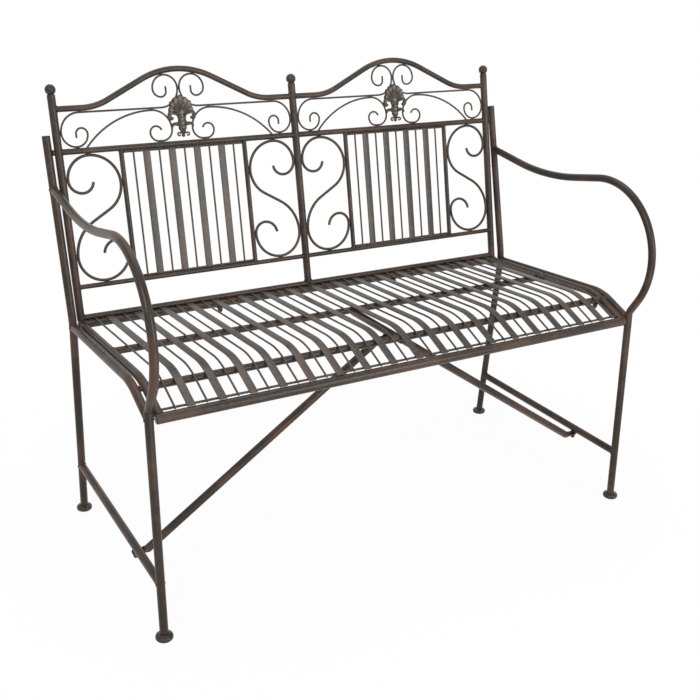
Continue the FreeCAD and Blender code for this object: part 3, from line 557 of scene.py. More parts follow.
# Backrest frame
back = {"lowerRail": 10.0, "midRail": 12.0, "archTube": 12.0, "crownRadius": 170.0, "footRadius": 120.0,
        "archFlat": 56.0, "bar": 10.0, "barOut": 135.3, "edgeGap": 20.3, "slats": 4, "postFoot": -6.0,
        "postEnd": 2.0}
backBar = lambda start, end, width, ends=(0, 0): tube(backPlane, straightLine(start, end), width, ends)
for name, out, foot, node in (("rightPost", panelX, back["postFoot"], "right_post"),
                              ("leftPost", -panelX, back["postFoot"], "left_post"),
                              ("centrePost", 0.0, 0.0, "centre_post")):
    post = backBar((out, foot), (out, bench["postUp"]), tubeWidth, (back["postEnd"], 0))
    addPiece(name, [post], "panel_tube", node)
bottomRail = [backBar((-panelX, 0), (panelX, 0), bench["bottomRail"])]
addPiece("backBottomRail", bottomRail, "panel_tube", "back_bottom_rail")


# Arch: half from the crown as bend, run, bend back and flat end, joined to its reflection
def archLine():
    crownRadius, footRadius, flat = back["crownRadius"], back["footRadius"], back["archFlat"]
    gap = np.array([bayX - flat, archUp + footRadius - apexUp + crownRadius])
    both, reach = crownRadius + footRadius, np.linalg.norm(gap)
    lean = 90 - math.degrees(math.atan2(gap[1], gap[0])) - math.degrees(math.acos(both / reach))
    run = math.sqrt(reach ** 2 - both ** 2)
    half = lambda hand, heading: walkLine((bayX, apexUp), heading, [
        (crownRadius, -hand * lean), (run, 0), (footRadius, hand * lean), (flat, 0)], 2.5)
    return joinWalks(half(-1, 180), half(1, 0))


archCentre = archLine()
bayLeft, bayRight = bayX - back["barOut"], bayX + back["barOut"]
lowRodUp = lowerUp + (back["lowerRail"] + rodWidth) / 2 + weldGap
highRodUp = midUp - (back["midRail"] + rodWidth) / 2 - weldGap
panelPitch = 2 * (back["barOut"] - back["bar"] / 2 - back["edgeGap"]) / back["slats"]
flatPlaces = bayX + (np.arange(back["slats"]) - (back["slats"] - 1) / 2) * panelPitch
rodOuts = bayX + (np.arange(back["slats"] + 1) - back["slats"] / 2) * panelPitch
panelStrap = stripProfile(bench["slatWidth"], slatThick, bench["strapCorner"])
betweenRods = lambda out: straightLine((out, lowRodUp), (out, highRodUp))
addPair("Arch", [tube(backPlane, archCentre, back["archTube"])], "panel_tube")
addPair("MidRail", [backBar((0, midUp), (panelX, midUp), back["midRail"])], "panel_tube")
addPair("LowerRail", [backBar((0, lowerUp), (panelX, lowerUp), back["lowerRail"])], "panel_tube")
addPair("PanelBars", [backBar((out, lowerUp), (out, midUp), back["bar"]) for out in (bayLeft, bayRight)],
        "panel_tube")
addPair("PanelEdgeRods", [twistedRod(onBack(bayLeft, up), onBack(bayRight, up), rodWidth)
                          for up in (lowRodUp, highRodUp)], "slat")
panelSlats = [carryProfile(backPlane, betweenRods(out), panelStrap) for out in flatPlaces]
addPair("PanelFlatSlats", panelSlats, "slat")
addPair("PanelThinRods", [tube(backPlane, betweenRods(out), rodWidth) for out in rodOuts], "slat")

# Finials: neck drawn in from the post, then a ball, all from one outline of radius and height
finial = {"ball": 10.5, "neck": 6.0, "neckUp": 2.0, "arc": (-55.2, 88.0), "arcRows": 22, "sides": 36,
          "collar": [(7.2, -0.4), (8.0, 0.0), (8.0, 0.4), (7.4, 1.0), (6.4, 1.6), (6.0, 1.9)]}
arc = np.radians(np.linspace(*finial["arc"], finial["arcRows"]))
ballUp = finial["neckUp"] + math.sqrt(finial["ball"] ** 2 - finial["neck"] ** 2)
ballRows = np.stack([finial["ball"] * np.cos(arc), ballUp + finial["ball"] * np.sin(arc)], 1)
finialRows = np.concatenate([finial["collar"], ballRows])
finials = [turnedPiece(onBack(out, bench["postUp"]), backPlane["up"], *finialRows.T, finial["sides"])
           for out in (-panelX, 0.0, panelX)]
addPiece("finialBalls", finials, "panel_tube", "finials")
print("backrest frame made")

# Side scrolls: one wire in an S, two curls that touch post, bar and rails
sideScroll = {"wire": 6.0, "upper": 59.0, "upperCurl": 27.0, "upperTip": 23.0, "link": 43.0, "lower": 51.0,
              "lowerCurl": 24.0, "lowerTip": 27.0, "tipTurn": 85.0, "roundEnd": 2.6, "sides": 18,
              "tipRub": 0.8}


def sideScrollLine():
    s = sideScroll
    wire = s["wire"] / 2 + weldGap
    near = bayRight + back["bar"] / 2 + wire
    far = 2 * bayX - tubeWidth / 2 - wire
    high = midUp - back["midRail"] / 2 - wire
    low = lowerUp + back["lowerRail"] / 2 + wire
    top = (near + s["upper"], high)
    over, under, drop = far - top[0], far - s["lower"] - near, high - s["upper"] - low - s["lower"]
    sweep = (over ** 2 + drop ** 2 - s["upper"] ** 2 - s["link"] ** 2) / (2 * (over + s["upper"]))
    gap = (over - sweep, -drop)
    lean = math.degrees(math.acos((s["upper"] + sweep) / math.hypot(*gap)))
    turn = math.degrees(math.atan2(gap[1], gap[0])) % 360 - lean - 90
    tip = walkLine(top, 0, [(over, -90), (s["upperCurl"], -90), (s["upperTip"], -s["tipTurn"])])
    rest = walkLine(top, 180, [(s["upper"], turn), (s["link"], 0), (sweep, 90 - turn), (s["lower"], -90),
                               (under, -90), (s["lowerCurl"], -90), (s["lowerTip"], -s["tipTurn"])])
    reach = s["wire"] / 2
    touches = [((top[0], high + reach), 0), ((far + reach, high - over), 90),
               ((near - reach, high - s["upper"]), 90), ((far + reach, low + s["lower"]), 90),
               ((far - s["lower"], low - reach), 0), ((near - reach, low + under), 90)]
    return joinWalks(tip, rest), touches


sideScrollCentre, sideTouches = sideScrollLine()
outerScroll = [tube(backPlane, sideScrollCentre, sideScroll["wire"], (sideScroll["roundEnd"],) * 2,
                    sideScroll["tipRub"], sideScroll["sides"])]
addPair("OuterSideScroll", outerScroll, "scroll_wire")
addPair("InnerSideScroll", reflected(outerScroll, bayX), "scroll_wire")

# Crown scrolls under the arch
crown = {"wire": 4.0, "fall": 38.0, "topCurl": 17.0, "topEye": 11.0, "topEnd": 10.0, "drop": 38.5,
         "footCurl": 24.0, "footEye": 12.0, "footTip": 11.0, "footEnd": 8.0, "bow": 184.0, "shoulder": 40.0,
         "eyeOut": 22.5, "eyeRun": 8.0, "eyeCurl": 17.0, "eyeInner": 13.0, "eyeTip": 12.0, "eyeTurn": 75.0,
         "roundEnd": 1.7, "tipRub": 0.8}
crownReach = crown["wire"] / 2
crownWire = crownReach + weldGap
crownUp = archUp - (back["archTube"] + crown["wire"]) / 2 - weldGap
footUp = midUp + back["midRail"] / 2 + crownWire


def upperCrownLine():
    c = crown
    waist = (bayX + crownWire, crownUp + c["fall"])
    archMiddle = (bayX, apexUp - back["crownRadius"])
    room = back["crownRadius"] - back["archTube"] / 2 - crownWire
    height = waist[1] - archMiddle[1]
    curl = (room ** 2 - height ** 2 - crownWire ** 2) / (2 * crownWire + 2 * room)
    far = 2 * bayX - tubeWidth / 2 - crownWire
    run = far - c["drop"] - waist[0] - c["fall"]
    under = crownUp - c["drop"] - footUp
    tip = walkLine(waist, 90, [(curl, -180), (c["topCurl"], -90), (c["topEye"], -90), (c["topEnd"], 0)])
    rest = walkLine(waist, -90, [(c["fall"], 90), (run, 0), (c["drop"], -90), (under, -90),
                                 (c["footCurl"], -90), (c["footEye"], -90), (c["footTip"], -90),
                                 (c["footEnd"], 0)])
    curlAt = np.array([waist[0] + curl, waist[1]])
    archWay = unit(curlAt - archMiddle)
    archHeading = math.degrees(math.atan2(archWay[1], archWay[0])) - 90
    touches = [(curlAt + (curl + crownReach) * archWay, archHeading),
               ((far + crownReach, crownUp - c["drop"]), 90), ((far - under, footUp - crownReach), 0),
               ((bayX, waist[1]), 90)]
    return joinWalks(tip, rest), touches


def lowerCrownLine():
    c = crown
    topUp = crownUp - c["wire"] - weldGap
    heel = topUp - footUp - c["shoulder"]
    top = (bayX + c["eyeOut"] + c["shoulder"], topUp)
    bow = math.degrees(math.acos(1 - (topUp - midUp) / c["bow"]))
    tail = walkLine(top, 0, [(c["bow"], -bow)], 3.0)
    eye = walkLine(top, 180, [(c["shoulder"], 90), (heel, 90), (c["eyeRun"], 0), (c["eyeCurl"], 90),
                              (c["eyeInner"], 90), (c["eyeTip"], c["eyeTurn"])])
    heelOut = bayX + c["eyeOut"] + heel + c["eyeRun"] / 2
    touches = [((heelOut, footUp - crownReach), 0), ((top[0], topUp + crownReach), 0)]
    return joinWalks(tail, eye), touches


upperCentre, upperTouches = upperCrownLine()
lowerCentre, lowerTouches = lowerCrownLine()
for word, line, firstEnd in (("UpperCrownScrolls", upperCentre, crown["roundEnd"]),
                             ("LowerCrownScrolls", lowerCentre, 0)):
    scroll = [tube(backPlane, line, crown["wire"], (firstEnd, crown["roundEnd"]), crown["tipRub"])]
    addPair(word, scroll + reflected(scroll, bayX), "scroll_wire")
print("scrolls made")

# Cast shell, drawn about the middle of the bay with heights above the mid rail
shell = {"baseUp": 59.4, "ribStep": 22.5, "thick": 6.6, "scallop": 0.06, "groove": 0.40, "growth": 0.07,
         "growthRings": 4.5, "flutes": 5, "fluteDeep": 0.10, "carveDeep": 0.16, "carvePitch": 8.0,
         "stemFront": 0.62, "stemBack": 0.02, "stemSides": 40, "curlRise": 3.4, "curlSides": 14}
shellOrigin = onBack(bayX, midUp, crownWire)


# Points in space from grids of across, up and proud
def onShell(across, up, proud):
    return (shellOrigin + across[..., None] * backPlane["across"] + up[..., None] * backPlane["up"]
            + proud[..., None] * backPlane["out"])


# Fan: polar surface about the base. The rim's reach follows the outline by angle with a scallop
# for each rib; the height is a rounded rim, a hollow and a hub, grooved between the ribs.
def shellFan():
    outline = np.array([(0, 38.2), (8.5, 38.2), (16, 36.2), (30, 35.2), (42, 34.4), (53, 31.6), (61, 29.4),
                        (69, 29.0), (77, 29.6), (86, 28.2), (91, 25.5), (92.5, 20.0), (96, 14.0), (108, 11.1),
                        (128, 11.4), (141, 14.1), (160, 13.5), (180, 13.0)])
    angles = np.linspace(-180, 180, 241)[:-1]
    crest = np.cos(np.pi * angles / shell["ribStep"]) ** 2
    inFan = np.clip((94 - np.abs(angles)) / 8, 0, 1)
    reach = np.interp(np.abs(angles), outline[:, 0], outline[:, 1])
    reach = np.convolve(np.concatenate([reach[-2:], reach, reach[:2]]), np.ones(5) / 5, "valid")
    reach = reach * (1 - shell["scallop"] * (1 - crest ** 0.5) * inFan)
    share = np.concatenate([np.linspace(0.02, 0.9, 34), 0.9 + 0.1 * np.sin(np.linspace(0.1, np.pi / 2, 8))])
    share = share[:, None]
    rim = np.sqrt(np.clip(1 - np.clip((share - 0.80) / 0.20, 0, 1) ** 2, 0, 1))
    dish = 0.60 + 0.40 * np.exp(-((share - 0.82) / 0.16) ** 2) + 0.34 * np.exp(-(share / 0.22) ** 2)
    groove = 1 - shell["groove"] * (1 - crest[None] ** 0.7) * np.clip((share - 0.12) / 0.2, 0, 1)
    ripple = np.cos(2 * np.pi * share * shell["growthRings"]) * np.clip(share * 2, 0, 1)
    height = shell["thick"] * np.clip(rim * dish * groove * (1 + shell["growth"] * ripple), 0, 1.05)
    bearing = np.radians(angles)[None]
    up = shell["baseUp"] + share * reach[None] * np.cos(bearing)
    rings = onShell(share * reach[None] * np.sin(bearing), up, height)
    rub = np.clip(groove * rim * dish * 1.3 - 0.24, 0, 1)
    return closedBlock(rings[::-1, ::-1], rub[::-1, ::-1])


# Stem: a fluted and carved outline of half width and height, pressed in front and flat behind
def shellStem():
    outline = [(0.6, 12.6), (2.9, 13.5), (4.1, 16.2), (3.5, 18.6), (3.5, 20.4), (5.0, 22.4), (6.1, 24.6),
               (7.0, 27.0), (8.6, 29.0), (9.2, 31.0), (8.5, 33.0), (8.6, 35.5), (9.6, 39.0), (9.8, 42.0),
               (8.9, 46.0), (8.3, 50.0), (8.4, 54.0), (7.4, 57.5), (5.2, 60.5), (2.4, 62.5)]
    rows = smoothRows(outline, 4)
    wide, up = rows[:, :1], rows[:, 1:]
    angles = 2 * np.pi * np.arange(shell["stemSides"]) / shell["stemSides"]
    front = angles[None] - np.pi / 2
    leaf = np.clip((up - 33) / 4, 0, 1) * np.clip((61 - up) / 6, 0, 1)
    fluted = 1 + shell["fluteDeep"] * leaf * (np.cos(shell["flutes"] * front) - 0.4)
    carved = 1 + shell["carveDeep"] * np.cos(up * 2 * np.pi / shell["carvePitch"]) * np.cos(3 * front)
    depth = np.sin(angles)[None] * wide * fluted * carved
    depth = depth * np.where(depth > 0, shell["stemFront"], shell["stemBack"])
    rings = onShell(wide * np.cos(angles) * fluted, up, depth)
    rub = np.clip(depth / 5.4 * fluted * carved - 0.25, 0, 1)
    return closedBlock(rings[:, ::-1], rub[:, ::-1])


# Curl: round bar of changing width along a line in the shell's plane, standing proud by a set height
def shellCurl(points, widths, proud):
    path = smoothRows(points, 7)
    width = smoothRows(np.asarray(widths, float)[:, None], 7)
    ahead = np.gradient(path, axis=0)
    left = np.stack([-ahead[:, 1], ahead[:, 0]], 1) / np.linalg.norm(ahead, axis=1)[:, None]
    angles = 2 * np.pi * np.arange(shell["curlSides"]) / shell["curlSides"]
    flat = path[:, None] + width[:, None] / 2 * np.cos(angles)[None, :, None] * left[:, None]
    lift = proud + np.minimum(width / 2, shell["curlRise"]) * np.sin(angles)[None]
    return closedBlock(onShell(flat[..., 0], flat[..., 1], lift), np.clip(0.5 * np.sin(angles)[None], 0, 1))


def spiral(centre, radii, turns):
    angles = np.radians(np.linspace(*turns, len(radii)))
    return np.asarray(centre) + np.asarray(radii)[:, None] * np.stack([np.cos(angles), np.sin(angles)], 1)


volute = {"proud": 2.2, "widths": [5.0, 7.4, 8.8, 10.2, 8.6, 6.4, 4.0, 1.4], "points": [
    (21.5, 66.0), (25.6, 61.5), (26.6, 56.6), (25.2, 52.4), (22.6, 51.2), (20.4, 51.4), (18.8, 52.2),
    (18.0, 52.8)]}
footCurl = {"proud": 2.1, "widths": [4.0, 4.0, 3.8, 3.6, 3.4, 3.4, 3.4, 3.6], "points": [
    (2.4, 21.2), (5.2, 21.6), *spiral((9.7, 18.6), [3.6, 3.3, 3.1, 3.0, 3.0, 3.0], (140, -150))]}
shellArm = {"proud": 2.0, "widths": [12.0, 8.4, 6.8, 6.4, 5.0, 3.0], "points": [
    (6.0, 39.8), (11.0, 39.4), (16.0, 39.8), (20.0, 39.0), (22.2, 36.0), (22.8, 32.4)]}
halfShell = [shellCurl(**curl) for curl in (volute, footCurl, shellArm)]
addPair("CastShell", [shellFan(), shellStem()] + halfShell + reflected(halfShell, bayX), "cast_shell")
print("shells made")

# Braces: both ends pressed from a round tube to a flat tab
brace = {"y": -338.0, "tabWidth": 17.0, "tabThick": 3.0, "tabInner": 10.0, "overhang": 7.0, "corner": 6.0,
         "pressRun": 16.0, "sag": 9.2, "lift": 4.0, "hang": 3.5, "seatGap": 0.3, "tabPower": 0.42,
         "sides": 32}
stretcherUnder = sideFrame["stretcherZ"] - tubeWidth / 2
lowTabUp = stretcherUnder - brace["hang"] - brace["tabThick"] / 2
braceShare = (brace["y"] - seat["rearCrossY"]) / (seat["frontCrossY"] - seat["rearCrossY"])
centreBarUp = rearCrossAt[1] + (frontCrossAt[1] - rearCrossAt[1]) * braceShare - seat["centreDrop"]
highTabUp = centreBarUp - (seat["centreBar"] + brace["tabThick"]) / 2 - brace["seatGap"]
bracePlane = drawingPlane((0, brace["y"] + depthShift, 0), (1, 0, 0), (0, 0, 1))


# The ring is a superellipse whose half sizes and squareness go from the tab's to the tube's
# along the press, while the centre line eases from the tab's height to the tube's axis.
def braceTube(drop):
    low = np.array([frameX - brace["tabInner"], lowTabUp])
    high = np.array([brace["tabInner"], highTabUp - drop])
    climb = unit(high - low)
    start = low + brace["pressRun"] * climb - (0, brace["sag"])
    end = high - brace["pressRun"] * climb + (0, brace["lift"])
    ease = np.linspace(0, 1, 13)
    soft = ease * ease * (3 - 2 * ease)
    corner = brace["corner"]
    tabTurn = corner * (1 - np.cos(np.radians(np.linspace(8, 90, 9))))
    tabSide = brace["tabWidth"] / 2 - corner + np.sqrt(np.maximum(corner ** 2 - (corner - tabTurn) ** 2, 0))
    tabReach = (brace["tabInner"] + brace["overhang"] - tabTurn)[:, None] * (1, 0)
    pressed = lambda tab, round: tab + np.stack([ease, soft], 1) * (round - tab)
    path = np.concatenate([low + tabReach, pressed(low, start), pressed(high, end)[::-1],
                           (high - tabReach)[::-1]])
    press = np.concatenate([np.zeros(len(tabTurn)), soft])
    press = np.concatenate([press, press[::-1]])
    side = np.concatenate([tabSide, np.full(len(ease), brace["tabWidth"] / 2)])
    side = np.concatenate([side, side[::-1]])
    half = side * (1 - press) + tubeWidth / 2 * press
    rise = brace["tabThick"] / 2 * (1 - press) + tubeWidth / 2 * press
    power = (brace["tabPower"] * (1 - press) + press)[:, None]
    tubeHeading = math.degrees(math.atan2(*(end - start)[::-1]))
    headings = np.radians(180 + (tubeHeading - 180) * press)[:, None]
    angles = 2 * np.pi * np.arange(brace["sides"])[None] / brace["sides"]
    rounded = lambda v: np.sign(v) * np.abs(v) ** power
    left = -np.sin(headings) * bracePlane["across"] + np.cos(headings) * bracePlane["up"]
    rings = (inSpace(bracePlane, path)[:, None]
             + (rise[:, None] * rounded(np.cos(angles)))[..., None] * left[:, None]
             + (half[:, None] * rounded(np.sin(angles)))[..., None] * bracePlane["out"])
    return [closedBlock(rings)]


addPiece("rightBrace", braceTube(0.0), "frame_tube", "right_brace")
addPiece("leftBrace", reflected(braceTube(brace["tabThick"] + weldGap)), "frame_tube", "left_brace")

# Fasteners: dome heads with a hexagon socket, round-ended cap nuts on washers, and spacers
bolt = {"shank": 6.0, "head": 12.0, "headRise": 3.6, "socket": 4.4, "socketDeep": 1.5, "blind": 8.0,
        "cap": 10.5, "capLength": 12.0, "washer": 14.0, "washerThick": 1.6, "capClear": 0.5, "spacer": 11.5,
        "backX": 222.0, "studEnd": 0.5, "sides": 36}
boltAngles = 2 * np.pi * np.arange(bolt["sides"]) / bolt["sides"]
rounds = lambda radii: np.asarray(radii)[:, None] * np.ones(bolt["sides"])
upright = (0, 0, 1)


def hexReach(across):
    return across / 2 / np.cos((boltAngles + np.pi / 6) % (np.pi / 3) - np.pi / 6)


# Head and shank as one turned outline from the bottom of the socket over the dome to the tail
def boltBlock(start, axis, length):
    socket, head, shank = hexReach(bolt["socket"]), bolt["head"] / 2, bolt["shank"] / 2
    dome = (bolt["head"] ** 2 / 4 + bolt["headRise"] ** 2) / (2 * bolt["headRise"])
    spread = np.linspace(0.48, 0.97, 8) * bolt["head"] / 2
    domeUp = -bolt["headRise"] + dome - np.sqrt(dome ** 2 - spread ** 2)
    radii = np.concatenate([[socket * 0.55, socket * 0.98, socket],
                            rounds([*spread, head, head * 0.98, shank, shank, shank * 0.8])])
    deep = -bolt["headRise"] + bolt["socketDeep"]
    heights = [deep + 0.3, deep, domeUp[0] - 0.05, *domeUp, -0.35, 0, 0, length - 0.7, length]
    rub = np.concatenate([[0, 0, 0.6], np.linspace(0.5, 0.2, 8), [0.7, 0.2, 0, 0.2, 0.5]])
    return turnedPiece(start, axis, radii, heights, bolt["sides"], rub)


# Cap nut: a half ball, a neck, a hexagon with drawn-in corners and a washer, then the shank
def capBlock(start, axis, length):
    cap, side = bolt["cap"], hexReach(bolt["cap"] * 0.94)
    ball, washer, shank = cap * 0.46, bolt["washer"] / 2, bolt["shank"] / 2
    turn = np.radians(np.linspace(6, 88, 9))
    hexagon = [np.minimum(side, cap * 0.485), side, side, np.minimum(side, cap * 0.5)]
    radii = np.concatenate([rounds(ball * np.sin(turn)), hexagon,
                            rounds([washer - 0.5, washer, washer, shank, shank, shank * 0.8])])
    end, flat = -bolt["capLength"], -bolt["washerThick"]
    heights = [*(end + ball * (1 - np.cos(turn))), flat - 4.9, flat - 4.4, flat - 0.6, flat,
               flat, flat + 0.4, 0, 0, length - 0.7, length]
    rub = np.concatenate([np.linspace(0.5, 0.2, 9), [0.3, 0.7, 0.5, 0, 0.2, 0.6, 0, 0, 0, 0]])
    return turnedPiece(start, axis, radii, heights, bolt["sides"], rub)


def spacerBlock(start, axis, length, width):
    heights = (weldGap, weldGap + 0.4, length - weldGap - 0.4, length - weldGap)
    return turnedPiece(start, axis, (width / 2 - 0.5, width / 2, width / 2, width / 2 - 0.5), heights)


# Stud blind in a panel's tube and in the side frame, with a spacer between them
def sideStud(at):
    outer, wall = panelX + tubeWidth / 2, frameX - tubeWidth / 2
    point = lambda x: np.array([x, at[0] + depthShift, at[1]])
    return [roundBar(point(outer - bolt["blind"]), point(wall + bolt["blind"]), bolt["shank"],
                     (bolt["studEnd"],) * 2),
            spacerBlock(point(outer), (1, 0, 0), wall - outer, bolt["spacer"])]


postBolts = sideStud(backAt + midUp * backWay)
addPiece("postBolts", postBolts + reflected(postBolts), "fastener", "post_bolts")
seatCapX = panelX - (tubeWidth + bolt["washer"]) / 2 - bolt["capClear"]
seatCapAt = (seatCapX, frontCrossAt[0] + depthShift, frontCrossAt[1] - seat["crossbar"] / 2)
seatBolts = sideStud(onLineAt(sideRailLine, seat["frontCrossY"]))
seatBolts.append(capBlock(seatCapAt, upright, bolt["blind"]))
addPiece("seatBolts", seatBolts + reflected(seatBolts), "fastener", "seat_bolts")
braceY, tabHalf = brace["y"] + depthShift, brace["tabThick"] / 2
lowBolts = [capBlock((frameX, braceY, lowTabUp - tabHalf), upright,
                     stretcherUnder + bolt["blind"] - lowTabUp + tabHalf),
            spacerBlock((frameX, braceY, lowTabUp + tabHalf), upright, brace["hang"], bolt["cap"])]
highHead = highTabUp - 3 * tabHalf - weldGap
highLength = centreBarUp - seat["centreBar"] / 2 + bolt["blind"] - highHead
highBolt = boltBlock((0, braceY, highHead), upright, highLength)
addPiece("braceBolts", lowBolts + reflected(lowBolts) + [highBolt], "fastener", "brace_bolts")
railWay = unit((0, *(backRailAt - backAt)))
capReach = railReach + tubeWidth / 2
capShank = capReach - bench["bottomRail"] / 2 + bolt["blind"]
backBolts = [capBlock(onBack(out, 0) + capReach * railWay, -railWay, capShank)
             for out in (-bolt["backX"], bolt["backX"])]
addPiece("backRailBolts", backBolts, "fastener", "back_rail_bolts")
print("braces and fasteners made")

# Welds: rings where tubes run into rails, mounds where wires touch
weld = {"tubeBead": 1.5, "railBead": 1.3, "barBead": 1.2, "rodBead": 0.7, "mound": (5.0, 1.3, 1.5),
        "wireMound": (3.6, 0.9, 1.2), "centreMound": (3.5, 1.5, 1.4), "centreOff": 4.9, "around": 48,
        "sides": 8, "setBack": 60.0, "offPost": 40.0, "barUp": 200.0, "footSpread": 4.0}


# Ring of weld where a round tube runs into a round rail. For each angle round the tube, the
# distance along it is the smaller root of the quadratic for its wall meeting the rail's wall.
# The bead's size ripples a little round the ring.
def weldRing(start, way, width, railAt, railWay, railWidth, bead):
    way, railWay = unit(way), unit(railWay)
    first = unit(np.cross(way, railWay))
    angles = 2 * np.pi * np.arange(weld["around"]) / weld["around"]
    away = np.cos(angles)[:, None] * first + np.sin(angles)[:, None] * np.cross(way, first)
    wall = start + width / 2 * away
    flat = lambda v: v - (v @ railWay)[..., None] * railWay
    gap, step = flat(wall - railAt), flat(way[None])[0]
    half, full = gap @ step, step @ step
    room = np.maximum(half ** 2 - full * ((gap ** 2).sum(1) - railWidth ** 2 / 4), 0.0)
    seam = wall + ((-half - np.sqrt(room)) / full)[:, None] * way
    turn = (2 * np.pi * np.arange(weld["sides"]) / weld["sides"])[None, :, None]
    size = bead * (1 + 0.10 * np.sin(9 * angles) + 0.06 * np.sin(17 * angles + 1))
    rings = seam[:, None] + size[:, None, None] * (np.cos(turn) * away[:, None] - np.sin(turn) * way)
    return rings.reshape(-1, 3), [gridFaces(*rings.shape[:2], True)], np.zeros(rings[..., 0].size)


# Small mound of weld: an ellipsoid, with its three half sizes along, across and proud
def tackMound(at, along, across, sizes):
    rise = np.radians(np.linspace(-80, 80, 7))[:, None, None]
    angles = (2 * np.pi * np.arange(10) / 10)[None, :, None]
    local = (sizes[0] * np.sin(rise) * along + sizes[1] * (np.cos(rise) * np.cos(angles)) * across
             + sizes[2] * (np.cos(rise) * np.sin(angles)) * np.cross(along, across))
    return closedBlock(at + local)


sideWay = lambda way: np.array([0, *way])
stretchMiddle = stretcherLine[0].mean(0)
stretchWay = unit(stretcherLine[0][1] - stretcherLine[0][0])
bearerBack, bearerNose = -wayOf(bearerLine[1][0]), wayOf(bearerLine[1][-1])
armWay = wayOf(armCentre[1][-1])
frameJoints = (                                   # on the tube, its way, on the rail, the rail's way
    (stretchMiddle, -stretchWay, frontFoot, legWay),
    (stretchMiddle, stretchWay, rearFoot, rearWay),
    (bearerLine[0][0] - weld["setBack"] * bearerBack, bearerBack, rearBend, uprightWay + rearWay),
    (armCentre[0][-1] - weld["setBack"] * armWay, armWay, rearBend, uprightWay),
    (bearerLine[0][-1] - weld["setBack"] * bearerNose, bearerNose, legTop, legWay))
frameWelds = [weldRing(onSide(at), sideWay(way), tubeWidth, onSide(rail), sideWay(along), tubeWidth,
                       weld["tubeBead"]) for at, way, rail, along in frameJoints]
addPiece("sideFrameWelds", frameWelds + reflected(frameWelds), "frame_tube")

onRail = lambda at: inSpace(sidePlane(panelX), at)[0]
onMiddle = lambda at: inSpace(sidePlane(0), at)[0]
upWay, outWay = backPlane["up"], np.array([1.0, 0, 0])
sideBackWay, sideNoseWay = -wayOf(sideRailLine[1][0]), wayOf(sideRailLine[1][-1])
runWay, noseWay = wayOf(180 - bench["seatRise"]), wayOf(180 + bench["seatDrop"])
frontCrossWay = wayOf(np.interp(-seat["frontCrossY"], -sideRailLine[0][:, 0], sideRailLine[1]))
railJoints = ((sideRailLine[0][0], sideBackWay, backRailAt, tubeWidth),
              (sideRailLine[0][-1], sideNoseWay, frontRailAt, frontRail["width"]))
barJoints = (                                     # bar, width, place and way on the side rail, bead
    (rearCrossAt, seat["crossbar"], runPoint(seat["rearCrossY"], railDepth), runWay, weld["tubeBead"]),
    (frontCrossAt, seat["crossbar"], onLineAt(sideRailLine, seat["frontCrossY"]), frontCrossWay,
     weld["tubeBead"]),
    (backRodAt, rodWidth, runPoint(backRodAt[0], railDepth), runWay, weld["rodBead"]),
    (noseRodAt, rodWidth, onLineAt(sideRailLine, noseRodAt[0]), noseWay, weld["rodBead"]))
seatWelds = [weldRing(onRail(end - weld["setBack"] * way), sideWay(way), tubeWidth, onRail(rail), outWay,
                      width, weld["tubeBead"]) for end, way, rail, width in railJoints]
seatWelds += [weldRing(onMiddle(at), outWay, width, onRail(rail), sideWay(way), tubeWidth, bead)
              for at, width, rail, way, bead in barJoints]
barSide = inSpace(sidePlane(seat["centreBar"] / 2), [frontCrossAt + (weld["centreOff"], -seat["centreDrop"]),
                                                     rearCrossAt - (weld["centreOff"], seat["centreDrop"])])
seatWelds += [tackMound(at, np.array([0, 0, 1]), np.array([0, 1, 0]), weld["centreMound"]) for at in barSide]
addPiece("seatWelds", seatWelds + reflected(seatWelds), "panel_tube")

backWelds = []
for up, width, bead in ((0, bench["bottomRail"], "railBead"), (lowerUp, back["lowerRail"], "barBead"),
                        (midUp, back["midRail"], "railBead"), (archUp, back["archTube"], "railBead")):
    posts = [(panelX - weld["offPost"], outWay, panelX)]
    posts += [(weld["offPost"], -outWay, 0)] if up else []   # the bottom rail runs on under the centre post
    backWelds += [weldRing(onBack(start, up), way, width, onBack(post, 0), upWay, tubeWidth, weld[bead])
                  for start, way, post in posts]
backWelds += [weldRing(onBack(out, weld["barUp"]), way, back["bar"], onBack(out, up), outWay, back[rail],
                       weld["barBead"]) for out in (bayLeft, bayRight)
              for way, up, rail in ((upWay, midUp, "midRail"), (-upWay, lowerUp, "lowerRail"))]
backWelds += [weldRing(onBack(bayX, up), way, rodWidth, onBack(out, 0), upWay, back["bar"], weld["rodBead"])
              for up in (lowRodUp, highRodUp) for out, way in ((bayLeft, -outWay), (bayRight, outWay))]
footWeld = weldRing(onBack(0, weld["setBack"]), -upWay, tubeWidth, onBack(0, 0), outWay,
                    bench["bottomRail"] + weld["footSpread"], weld["railBead"])
addPiece("backrestWelds", backWelds + reflected(backWelds) + [footWeld], "panel_tube")


def moundsAt(touches, sizes):
    mounds = []
    for at, heading in touches:
        way = wayOf(heading)
        along = way[0] * backPlane["across"] + way[1] * backPlane["up"]
        mounds.append(tackMound(onBack(*at), along, np.cross(backPlane["out"], along), sizes))
    return mounds


sideMounds = moundsAt(sideTouches, weld["mound"])
sideMounds += reflected(sideMounds, bayX)
crownMounds = moundsAt(upperTouches + lowerTouches, weld["wireMound"])
crownMounds += reflected(crownMounds[:3] + crownMounds[4:], bayX)    # the fourth is in the middle
scrollMounds = sideMounds + reflected(sideMounds) + crownMounds + reflected(crownMounds)
addPiece("scrollWelds", scrollMounds, "scroll_wire")
print("welds made")


# Stage: pale floor that keeps a soft shadow, white room, soft lamps
stage = {"floorReach": 40.0, "floorTones": ((0.90, 0.90, 0.90, 1), (0.94, 0.94, 0.94, 1)), "speckScale": 60.0,
         "shadowReach": (0.55, 1.1), "shadowShare": 0.07, "roomLight": 0.5, "white": (1, 1, 1, 1)}


